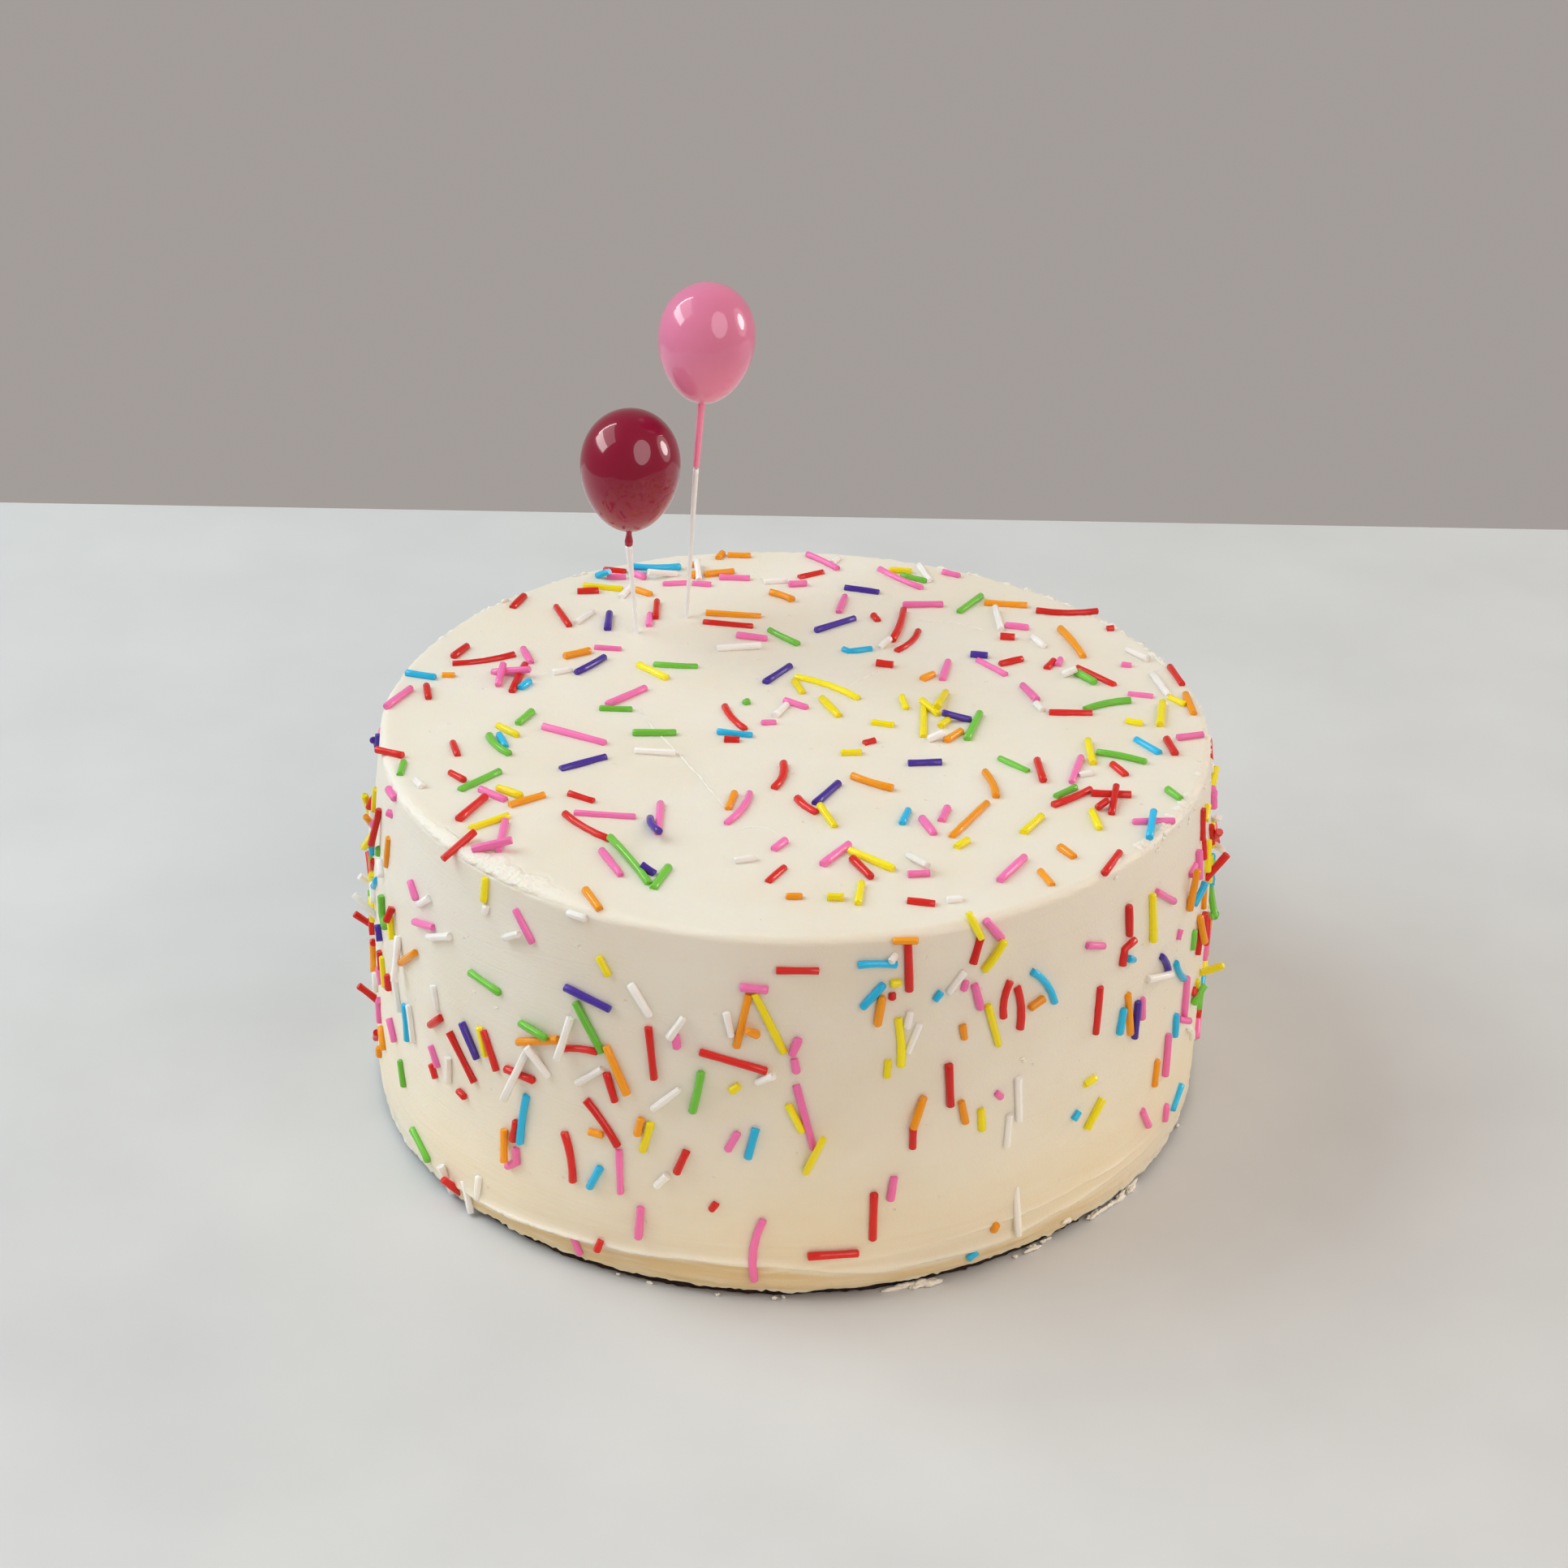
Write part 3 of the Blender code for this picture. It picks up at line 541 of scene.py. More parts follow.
def lip_height(size, angle):
    """The height of the torn lower edge: the solid's slow swing and ripple, with finer tears."""
    ring = circle(angle, size.radius)
    ripple = 0.6 * np.sin(17 * angle + 0.7) + 0.4 * np.sin(31 * angle + 2.0)
    slow = LIP_HEIGHT + LIP_SWING * np.cos(angle - LIP_HIGH_AT) + LIP_RIPPLE * ripple
    torn_up = 0.45 * MM * bell_round(angle, -100, 58)
    tears = 0.22 * MM * swell(ring, 7 * MM, 11) + 0.3 * MM * np.abs(swell(ring, 2.0 * MM, 12))
    return np.clip(slow + torn_up + tears, 0.3 * MM, 2.35 * MM)


# Rings on the top, down the wall and over the foot, which starts at FOOT_TOP, and under the lip, and the
# radius of the innermost ring
TOP_ROWS, WALL_ROWS, FOOT_ROWS, UNDER_ROWS = 44, 34, 52, 5
FOOT_TOP, INNERMOST = 13.6 * MM, 0.6 * MM


def ridge_line(angle, ridge):
    """Height and share of one of the ridges round the cake, straight between its entries."""
    at, height, share = (np.array(column) for column in zip(*ridge))
    degrees = np.degrees(angle)
    return np.interp(degrees, at, height) * MM, np.interp(degrees, at, share)


def icing_rings(size):
    """Radius and height of every point before the cake is made uneven. Rows run from the middle of the
    top, over the rim's quarter circle and down the wall, then past the scraper's ridge and the set-back
    band to the torn lip, and back under it to the middle of the underside."""
    angle = np.linspace(-math.pi, math.pi, size.columns, endpoint=False)
    rim = float(wall_radius(size, size.height)) + 0.2 * MM
    fillet = size.rim_fillet
    near = rim - fillet - np.array([2.1, 1.4, 0.7, 0.0]) * MM
    radii = [np.append(np.linspace(INNERMOST, near[0] - 0.7 * MM, TOP_ROWS - 4), near)]
    heights = [np.full(TOP_ROWS, size.height)]
    bend = np.radians(np.linspace(90, 0, 15)[1:])
    radii.append(rim - fillet + fillet * np.cos(bend))
    heights.append(size.height - fillet + fillet * np.sin(bend))
    down = np.linspace(size.height - fillet, FOOT_TOP, WALL_ROWS + 1)[1:]
    radii.append(wall_radius(size, down))
    heights.append(down)
    around = np.ones_like(angle)
    radii = np.concatenate(radii)[:, None] * around
    heights = np.concatenate(heights)[:, None] * around

    lip = lip_height(size, angle)
    share = np.linspace(0, 1, FOOT_ROWS + 1)[1:, None]
    low = FOOT_TOP - share * (FOOT_TOP - lip)
    ring = circle(angle, size.radius)
    band = wall_radius(size, low) + 0 * ring[..., 0]
    for number, ridge in enumerate(RIDGES):
        crest, share = ridge_line(angle, ridge)
        crest = (
            crest + 0.16 * MM * swell(ring, 18 * MM, 21 + number) + 0.06 * MM * swell(ring, 5 * MM, 24 + number)
        )
        proud = size.ridge_proud * share * (0.9 + 0.2 * swell(ring, 16 * MM, 27 + number))
        step = np.where(low >= crest, bell(low, crest, 1.3 * MM), bell(low, crest, 0.36 * MM))
        band += proud * step
        if number == 0:
            band -= BAND_SET_BACK * np.clip(1.7 * share, 0.3, 1) * ramp(crest - low, 0.05 * MM, 0.6 * MM)
    under = band[-1] - 0.25 * MM
    inner = band[-1] - LIP_THICKNESS
    ceiling = (FOOT_HEIGHT + GAP) * around
    radii = np.concatenate([radii, band, [under, inner, inner, inner * 0.6, inner * 0.01]])
    heights = np.concatenate([heights, low, [lip - 0.08 * MM, lip + 0.05 * MM, ceiling, ceiling, ceiling]])
    return angle, radii, heights


def scraper_marks(points, down):
    """Fine level streaks left by the scraper on the wall: noise stretched some fourteen times round the cake.
    down is 0 on the top and 1 on the wall."""
    flattened = points * np.array([0.07, 0.07, 1.0])
    return down * (0.020 * MM * swell(flattened, 2.6 * MM, 31) + 0.030 * MM * swell(flattened, 9 * MM, 32))


def rim_relief(points, angle, rim):
    """The rim's burr at the front left and its crumbs at the back and right: bells round the cake times
    noise, on the rim alone."""
    crumbs = (1 - bell_round(angle, *CLEAN)) * (0.04 + 0.22 * bell_round(angle, *ROUGH_BACK)) * MM
    rough = np.maximum(swell(points, 2.6 * MM, 41) - 0.35, 0)
    fine = swell(points, 1.9 * MM, 42)
    slow = swell(points, 14 * MM, 43)
    burr = bell_round(angle, *BURR) * (0.05 * MM + 0.09 * MM * fine)
    return rim * (burr + crumbs * rough + 0.03 * MM * fine + 0.07 * MM * slow)


def stick_craters(size, points):
    """A shallow dent with a low ring where each stick goes in."""
    total = 0
    for pick in PICKS.values():
        away = np.linalg.norm(points - entry_point(size, pick["entry"]), axis=-1)
        total = total + 0.22 * MM * bell(away, 1.9 * MM, 0.8 * MM) - 0.35 * MM * bell(away, 0, 1.0 * MM)
    return total


def icing_points(size):
    """The finished icing's points and normals, as rows by columns, with how pale each point is, as torn icing
    and painted highlight together, and how much painted warm reflection of a golden board it takes. Relief
    moves the points along their normals: slow waves, scraper marks, the rim's burr and crumbs, a dent at
    each stick and a rough lip. The ridges' crests are paler as a painted highlight; a ragged strip along
    the rim, the rest of the rim past its clean front and the torn lip are paler as torn icing, on the rim
    partly as painted highlight. The band under the first ridge takes the painted warm reflection, and the
    lower wall a little of it."""
    angle, radius, height = icing_rings(size)
    points = lean_and_wave(size, radius, angle, height)
    normals = grid_normals(points)
    outside = np.arange(len(points))[:, None] < len(points) - UNDER_ROWS
    down = ramp(1 - normals[..., 2], 0.35, 0.9)
    rim = ramp(1 - np.abs(normals[..., 2] - 0.6), 0.45, 0.95) * ramp(height, 60 * MM, 66 * MM)
    on_top = 1 - down
    relief = size.undulation * (0.9 * swell(points, 46 * MM, 1) + 0.35 * swell(points, 17 * MM, 2))
    relief = relief * ramp(size.radius * 1.05 - radius, 0, 6 * MM) * on_top + relief * down
    relief = relief + scraper_marks(points, down) * ramp(height, 3 * MM, 9 * MM)
    relief = relief + rim_relief(points, angle, rim)
    relief = relief + stick_craters(size, points) * on_top
    lip = ramp(6.5 * MM - height, 0, 4 * MM)
    relief = relief + lip * 0.07 * MM * swell(points * np.array([1, 1, 2.2]), 3.0 * MM, 3)
    points = points + normals * (relief * outside)[..., None]

    crest, share = ridge_line(angle, RIDGES[0])
    second, second_share = ridge_line(angle, RIDGES[1])
    # Painted highlight: the crests of the first two ridges are paler, as if lit from above
    painted_ridge_highlight = 0.75 * share * bell(height, crest + 0.3 * MM, 0.75 * MM)
    painted_ridge_highlight = painted_ridge_highlight + 0.8 * second_share * bell(height, second, 0.5 * MM)
    # Painted warm reflection of a golden cake board: full in the band under the first ridge, and 0.22 of it low
    # on the wall, from 30 mm down
    painted_board_glow = np.maximum(
        ramp(crest - 0.4 * MM - height, 0, 1.2 * MM) * np.clip(1.5 * share, 0, 1),
        0.22 * ramp(30 * MM - height, 0, 22 * MM),
    )
    streaks = swell(points * np.array([0.06, 0.06, 1.0]), 0.9 * MM, 33)
    painted_board_glow = np.clip(painted_board_glow * (1 + 0.16 * streaks), 0, 1)
    ragged = bell_round(angle, *RAGGED)
    wide = (0.5 + 2.6 * ragged) * (1 + 0.15 * swell(points, 3 * MM, 34)) * MM
    inner = size.radius - size.top_inset - size.rim_fillet - wide
    edge = ramp(radius, inner - 0.3 * MM, inner + 1.3 * MM)
    edge = edge * ramp(height, size.height - size.rim_fillet, size.height - 0.4 * MM)
    # Paler along the torn rim strip, the rim past its clean front and the torn lip: torn icing, and on the rim
    # partly painted highlight
    rough = (0.5 + 0.45 * ragged) * edge * bell_round(angle, *TORN)
    rough = rough + 0.4 * rim * (1 - bell_round(angle, *CLEAN)) + 0.3 * ramp(3.0 * MM - height, 0, 1.5 * MM)
    return points, grid_normals(points), np.clip(rough + painted_ridge_highlight, 0, 1), painted_board_glow


class Surface:
    """Looks up points and outward directions on the finished icing by angle and distance along the
    profile from the middle of the top."""

    def __init__(self, size):
        self.points, self.normals, self.torn, self.painted_board_glow = icing_points(size)
        self.columns = self.points.shape[1]
        steps = np.linalg.norm(np.diff(self.points, axis=0), axis=-1).mean(axis=1)
        self.along = np.concatenate([[0.0], np.cumsum(steps)]) + INNERMOST
        self.rows = len(self.points) - UNDER_ROWS
        self.heights = self.points[..., 2].mean(axis=1)

    def row_at_height(self, height):
        """The distance along the profile at which the wall has this height."""
        wall = slice(TOP_ROWS, self.rows)
        return float(np.interp(-height, -self.heights[wall], self.along[wall]))

    def at(self, angle, distance):
        """Points and normals by bilinear interpolation, for one angle and distance or for grids of them."""
        row = np.clip(np.interp(distance, self.along, np.arange(len(self.along))), 0, self.rows - 1.001)
        column = (np.asarray(angle) + math.pi) / (2 * math.pi) * self.columns
        row, column = np.broadcast_arrays(row, column)
        i, j = np.floor(row).astype(int), np.floor(column).astype(int)
        u, v = (row - i)[..., None], (column - j)[..., None]
        j, k = j % self.columns, (j + 1) % self.columns
        found = []
        for grid in (self.points, self.normals):
            upper = grid[i, j] * (1 - v) + grid[i, k] * v
            lower = grid[i + 1, j] * (1 - v) + grid[i + 1, k] * v
            found.append(upper * (1 - u) + lower * u)
        return found[0], unit(found[1])


# Materials

# The two colours that a Mix node of colours takes, and the one that it gives
FIRST, SECOND, MIXED = 6, 7, 2


def fill_inputs(made, inputs):
    """Gives each input of a node, by name or number, a value or a link. A colour's alpha is 1."""
    for name, value in inputs.items():
        socket = made.inputs[name]
        if isinstance(value, bpy.types.NodeSocket):
            made.id_data.links.new(value, socket)
        else:
            socket.default_value = (*value, 1.0) if socket.type == "RGBA" else value


def add_node(tree, kind, inputs=None, out=0, **settings):
    """Adds a node with its settings, fills its inputs, and gives one output, by name or number."""
    made = tree.nodes.new(kind)
    for name, value in settings.items():
        setattr(made, name, value)
    fill_inputs(made, inputs or {})
    return made.outputs[out]


def new_material(name, **inputs):
    """A material with a Principled shader whose own sockets hold the inputs. Gives the material, its
    tree, the shader and the piece's own coordinates."""
    material = bpy.data.materials.new(name)
    material.use_nodes = True
    tree = material.node_tree
    shader = tree.nodes["Principled BSDF"]
    fill_inputs(shader, {key.replace("_", " "): value for key, value in inputs.items()})
    return material, tree, shader, add_node(tree, "ShaderNodeTexCoord", out="Object")


def deeper(tint, share):
    """The colour at a share of its brightness."""
    return tuple(share * value for value in tint)


def buttercream_material(size, name, soft):
    """Whipped buttercream smoothed with a steel scraper: a fatty satin skin over a soft body that lets
    light in as far as soft says. The eye gets a fine grain of air bubbles, sparse pits, level scraper
    streaks on the wall and slow drifts of deeper butter, and a paler sugary grain where the rim and the foot
    are torn. The same paler colour is a painted highlight on the ridge crests, the seams and the rim, and a
    yellow painted warm reflection of a golden board lies under the ridge and, fainter, on the lower wall."""
    material, tree, shader, place = new_material(
        name, IOR=1.46, Subsurface_Weight=0.4 * soft, Subsurface_Scale=0.0026,
        Subsurface_Radius=(1.0, 0.66, 0.4),
    )
    # The first attribute is torn icing and painted highlight together; the third is the painted warm reflection
    # of a golden board at the foot
    torn, wall, foot = (
        add_node(tree, "ShaderNodeAttribute", out="Fac", attribute_name=key) for key in ("torn", "wall", "foot")
    )
    slow = add_node(tree, "ShaderNodeTexNoise", {"Vector": place, "Scale": 38.0, "Detail": 3.0})
    patch = add_node(tree, "ShaderNodeMapRange", {"Value": slow, "From Min": 0.35, "From Max": 0.68})
    # Mixed in turn: slow drifts of deeper butter, the painted warm reflection of a golden board at the foot,
    # and the paler colour of torn icing, which on ridge crests, seams and rim is a painted highlight
    shade = size.cream
    for share, other in ((patch, size.butter), (foot, size.painted_board_glow), (torn, size.broken_and_highlight)):
        ends = {"Factor": share, FIRST: shade, SECOND: other}
        shade = add_node(tree, "ShaderNodeMix", ends, MIXED, data_type="RGBA")

    # Bubbles about 0.45 mm across, pits every 6 mm or so, and streaks 0.8 mm apart that run level
    bubbles = add_node(tree, "ShaderNodeTexNoise", {"Vector": place, "Scale": 2200.0, "Detail": 2.0})
    pits = add_node(tree, "ShaderNodeTexVoronoi", {"Vector": place, "Scale": 165.0})
    hollow = add_node(
        tree, "ShaderNodeMapRange", {"Value": pits, "From Min": 0.03, "From Max": 0.075},
        interpolation_type="SMOOTHSTEP",
    )
    level = add_node(tree, "ShaderNodeMapping", {"Vector": place, "Scale": (0.06, 0.06, 1.0)})
    streaks = add_node(tree, "ShaderNodeTexNoise", {"Vector": level, "Scale": 1250.0, "Detail": 2.0})
    # Sugary grit just under a millimetre across where the icing is torn
    grit = add_node(tree, "ShaderNodeTexNoise", {"Vector": place, "Scale": 1150.0, "Detail": 3.0})
    coarse = add_node(tree, "ShaderNodeMapRange", {"Value": torn, "From Min": 0.35, "From Max": 0.95})
    # Hairlines run level where this slow noise crosses its middle
    drift = add_node(tree, "ShaderNodeTexNoise", {"Vector": level, "Scale": 120.0, "Detail": 1.0})
    off = add_node(tree, "ShaderNodeMath", {0: drift, 1: 0.5}, operation="SUBTRACT")
    off = add_node(tree, "ShaderNodeMath", {0: off}, operation="ABSOLUTE")
    hairs = add_node(tree, "ShaderNodeMapRange", {"Value": off, "From Min": 0.0, "From Max": 0.012})
    below = {}
    for height, where, depth in (
        (hollow, None, 0.14), (streaks, wall, 0.07), (hairs, wall, 0.03), (grit, coarse, 0.85),
        (bubbles, None, 0.07),
    ):
        if where:
            height = add_node(tree, "ShaderNodeMath", {0: height, 1: where}, operation="MULTIPLY")
        inputs = {"Height": height, "Distance": depth * MM, "Strength": 1.0}
        below = {"Normal": add_node(tree, "ShaderNodeBump", inputs | below)}
    dull = add_node(
        tree, "ShaderNodeMapRange",
        {"Value": slow, "From Min": 0.3, "From Max": 0.7, "To Min": 0.40, "To Max": 0.52},
    )
    rough = add_node(tree, "ShaderNodeMath", {0: torn, 1: 0.22, 2: dull}, operation="MULTIPLY_ADD")
    fill_inputs(shader, {"Base Color": shade, "Roughness": rough} | below)
    return material


def sponge_material(size):
    """Baked chocolate sponge, cut by the tin: an open, matt crumb. The eye gets near-black pores between
    dark brown crumbs about a millimetre across."""
    material, tree, shader, place = new_material("chocolate_sponge_crumb", Roughness=0.92, IOR=1.4)
    crumb = add_node(tree, "ShaderNodeTexNoise", {"Vector": place, "Scale": 900.0, "Detail": 4.0})
    pores = add_node(tree, "ShaderNodeMapRange", {"Value": crumb, "From Min": 0.4, "From Max": 0.65})
    ends = {"Factor": pores, FIRST: deeper(size.sponge, 0.4), SECOND: size.sponge}
    shade = add_node(tree, "ShaderNodeMix", ends, MIXED, data_type="RGBA")
    bump = add_node(tree, "ShaderNodeBump", {"Height": crumb, "Distance": 0.7 * MM, "Strength": 1.0})
    fill_inputs(shader, {"Base Color": shade, "Normal": bump})
    return material


def lacquer_material(name, tint):
    """Dipped gloss lacquer on a moulded bead: a saturated coat under a clear mirror skin. The eye gets
    sharp lights, slightly wavy where the lacquer pooled, and a lighter coat over the lower half, painted
    reflected light from the cake below, with the full lighter coat on the neck."""
    material, tree, shader, place = new_material(
        name, IOR=1.5, Roughness=0.3, Specular_IOR_Level=0.06, Coat_Weight=1.0, Coat_Roughness=0.03,
        Coat_IOR=1.45,
    )
    pool = add_node(tree, "ShaderNodeTexNoise", {"Vector": place, "Scale": 110.0, "Detail": 1.0})
    # Painted reflected light from the cake below: this attribute lightens the lower half and the neck towards a
    # paler, warmer colour
    painted_low_reflection = add_node(tree, "ShaderNodeAttribute", out="Fac", attribute_name="painted_low_reflection")
    paler = tuple(min(1.0, share * value + 0.02) for share, value in zip((1.4, 1.15, 1.1), tint))
    shade = tint
    for share, other in ((pool, deeper(tint, 0.86)), (painted_low_reflection, paler)):
        ends = {"Factor": share, FIRST: shade, SECOND: other}
        shade = add_node(tree, "ShaderNodeMix", ends, MIXED, data_type="RGBA")
    bump = add_node(tree, "ShaderNodeBump", {"Height": pool, "Distance": 0.22 * MM, "Strength": 1.0})
    fill_inputs(shader, {"Base Color": shade, "Coat Normal": bump})
    return material


def stick_material(picks):
    """Extruded polypropylene rod: milky, faintly clear plastic. The eye gets a bright edge on both sides
    of a greyer core, with faint die lines along the rod about 0.4 mm apart."""
    material, tree, shader, place = new_material(
        "milky_polypropylene", IOR=1.49, Roughness=0.3, Specular_IOR_Level=0.9
    )
    along = add_node(tree, "ShaderNodeMapping", {"Vector": place, "Scale": (1.0, 1.0, 0.03)})
    lines = add_node(tree, "ShaderNodeTexNoise", {"Vector": along, "Scale": 2400.0, "Detail": 1.0})
    ends = {"Factor": lines, FIRST: picks.stick, SECOND: deeper(picks.stick, 0.94)}
    shade = add_node(tree, "ShaderNodeMix", ends, MIXED, data_type="RGBA")
    bump = add_node(tree, "ShaderNodeBump", {"Height": lines, "Distance": 0.06 * MM, "Strength": 1.0})
    fill_inputs(shader, {"Base Color": shade, "Normal": bump})
    return material


def sprinkle_material(name, tint):
    """Pressed sugar strand with a thin wax glaze. The eye gets a soft highlight along each strand, faint
    die lines seven to the round, a powdery grain a fifth of a millimetre across, and strands that differ
    a little in depth of colour."""
    material, tree, shader, place = new_material(
        "sugar_strand_" + name, IOR=1.5, Roughness=0.4, Specular_IOR_Level=0.12, Subsurface_Weight=0.1,
        Subsurface_Scale=0.0003, Subsurface_Radius=(1.0, 0.8, 0.7), Coat_Weight=0.45, Coat_Roughness=0.1,
    )
    tone = add_node(tree, "ShaderNodeAttribute", out="Fac", attribute_name="tone")
    grain = add_node(tree, "ShaderNodeTexNoise", {"Vector": place, "Scale": 4500.0, "Detail": 2.0})
    shift = add_node(tree, "ShaderNodeMath", {0: grain, 1: 0.5, 2: tone}, operation="MULTIPLY_ADD")
    share = add_node(tree, "ShaderNodeMapRange", {"Value": shift, "From Min": 0.0, "From Max": 1.25})
    light = tuple(min(1.0, 1.06 * value + 0.012) for value in tint)
    ends = {"Factor": share, FIRST: deeper(tint, 0.87), SECOND: light}
    shade = add_node(tree, "ShaderNodeMix", ends, MIXED, data_type="RGBA")
    around = add_node(tree, "ShaderNodeUVMap", uv_map="strand")
    wave = {"Vector": around, "Scale": 2.2, "Distortion": 0.6, "Detail": 1.0}
    die = add_node(tree, "ShaderNodeTexWave", wave, "Fac")
    ridges = add_node(tree, "ShaderNodeBump", {"Height": die, "Distance": 0.05 * MM, "Strength": 1.0})
    powder = add_node(tree, "ShaderNodeBump", {"Height": grain, "Distance": 0.04 * MM, "Normal": ridges})
    fill_inputs(shader, {"Base Color": shade, "Normal": powder})
    return material


def floor_material(stage):
    """Honed pale mineral board: matt, near neutral, with faint clouds about 4 cm across."""
    material, tree, shader, place = new_material("honed_pale_board", Roughness=0.62, IOR=1.45)
    cloud = add_node(tree, "ShaderNodeTexNoise", {"Vector": place, "Scale": 24.0, "Detail": 4.0})
    share = add_node(tree, "ShaderNodeMapRange", {"Value": cloud, "From Min": 0.3, "From Max": 0.7})
    ends = {"Factor": share, FIRST: stage.floor, SECOND: deeper(stage.floor, 0.93)}
    fill_inputs(shader, {"Base Color": add_node(tree, "ShaderNodeMix", ends, MIXED, data_type="RGBA")})
    return material


def finish_piece(obj, material, replaces=()):
    """Gives the piece its material and its body, and hides the solids it stands for."""
    obj.data.materials.append(material)
    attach(obj, "root")
    if replaces:
        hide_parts(*replaces)


# Sprinkles

# Rings along a strand, sides round it, and the length that a turn of its UV map stands for
STATIONS, SIDES, STRAND_TURN = 7, 9, 2.5 * MM


def strand_points(strands):
    """Points of every strand, as strands by stations by sides by xyz. A strand's axis turns by bend times
    (clip((t - kink) / width + 1/2, 0, 1) - 1/2) at the share t of its length, so width 1 is an even arc
    and a small width is a hook. Its section is a circle, drawn in at both ends."""
    centre, along, out = (np.array([s[key] for s in strands]) for key in ("centre", "along", "out"))
    long, radius, bend, kink, width, blunt, wobble = (
        np.array([s[key] for s in strands])[:, None]
        for key in ("length", "radius", "bend", "kink", "width", "blunt", "wobble")
    )
    end = np.minimum(radius * (0.34 - 0.2 * blunt) / long, 0.2)
    inner = np.linspace(0, 1, STATIONS - 2)[None]
    t = np.concatenate([0 * end, end + inner * (1 - 2 * end), 1 + 0 * end], axis=1)
    middle = (t[:, 1:] + t[:, :-1]) / 2
    turn = bend * (np.clip((middle - kink) / width + 0.5, 0, 1) - 0.5)
    step = long * np.diff(t, axis=1)
    zero = 0 * end
    x = np.concatenate([zero, np.cumsum(step * np.cos(turn), axis=1)], axis=1)
    y = np.concatenate([zero, np.cumsum(step * np.sin(turn), axis=1)], axis=1)
    x, y = x - (x[:, :1] + x[:, -1:]) / 2, y - y.mean(axis=1, keepdims=True)
    heading = bend * (np.clip((t - kink) / width + 0.5, 0, 1) - 0.5)
    side = np.cross(out, along)
    axis = centre[:, None] + along[:, None] * x[..., None] + side[:, None] * y[..., None]
    across = side[:, None] * np.cos(heading)[..., None] - along[:, None] * np.sin(heading)[..., None]
    tip = np.ones(STATIONS)
    tip[[0, -1]] = 0
    drawn_in = tip + (1 - tip) * (0.70 + 0.20 * blunt)
    ring_radius = radius * drawn_in * (1 + 0.05 * np.sin(5 * t + 9 * wobble))
    round_turn = np.linspace(0, 2 * math.pi, SIDES, endpoint=False)
    rim = (
        across[:, :, None] * np.cos(round_turn)[None, None, :, None]
        + (out[:, None] * np.ones((1, STATIONS, 1)))[:, :, None] * np.sin(round_turn)[None, None, :, None]
    )
    return axis[:, :, None] + rim * ring_radius[..., None, None], t * long


def make_strands(name, strands):
    """One mesh of closed strands, each 54 side faces and two end faces, with a tone for each strand and
    a UV map that runs once round, and along by one for each STRAND_TURN."""
    points, along = strand_points(strands)
    count = len(strands)
    first = np.arange(count)[:, None, None] * STATIONS * SIDES
    ring = np.arange(STATIONS * SIDES).reshape(STATIONS, SIDES)
    right = np.roll(ring, -1, axis=1)
    quads = np.stack([ring[:-1], right[:-1], right[1:], ring[1:]], axis=-1).reshape(1, -1, 4) + first
    caps = np.stack([ring[0][::-1], ring[-1]])[None] + first
    faces = quads.reshape(-1, 4).tolist() + caps.reshape(-1, SIDES).tolist()
    obj = make_object(name, points, faces, flat=range(count * (STATIONS - 1) * SIDES, len(faces)))
    add_point_value(obj, "tone", np.repeat([s["tone"] for s in strands], STATIONS * SIDES))
    corner = np.empty(len(obj.data.loops), np.int32)
    obj.data.loops.foreach_get("vertex_index", corner)
    turn = (corner % SIDES) / SIDES
    quad_loops = count * (STATIONS - 1) * SIDES * 4
    wraps = np.arange(len(corner)) < quad_loops
    place = np.arange(len(corner)) % 4
    turn = np.where(wraps & (turn == 0) & ((place == 1) | (place == 2)), 1.0, turn)
    run = along.reshape(-1)[corner // SIDES] / STRAND_TURN
    layer = obj.data.uv_layers.new(name="strand")
    layer.data.foreach_set("uv", np.stack([turn, run], axis=1).astype(np.float32).ravel())
    return obj


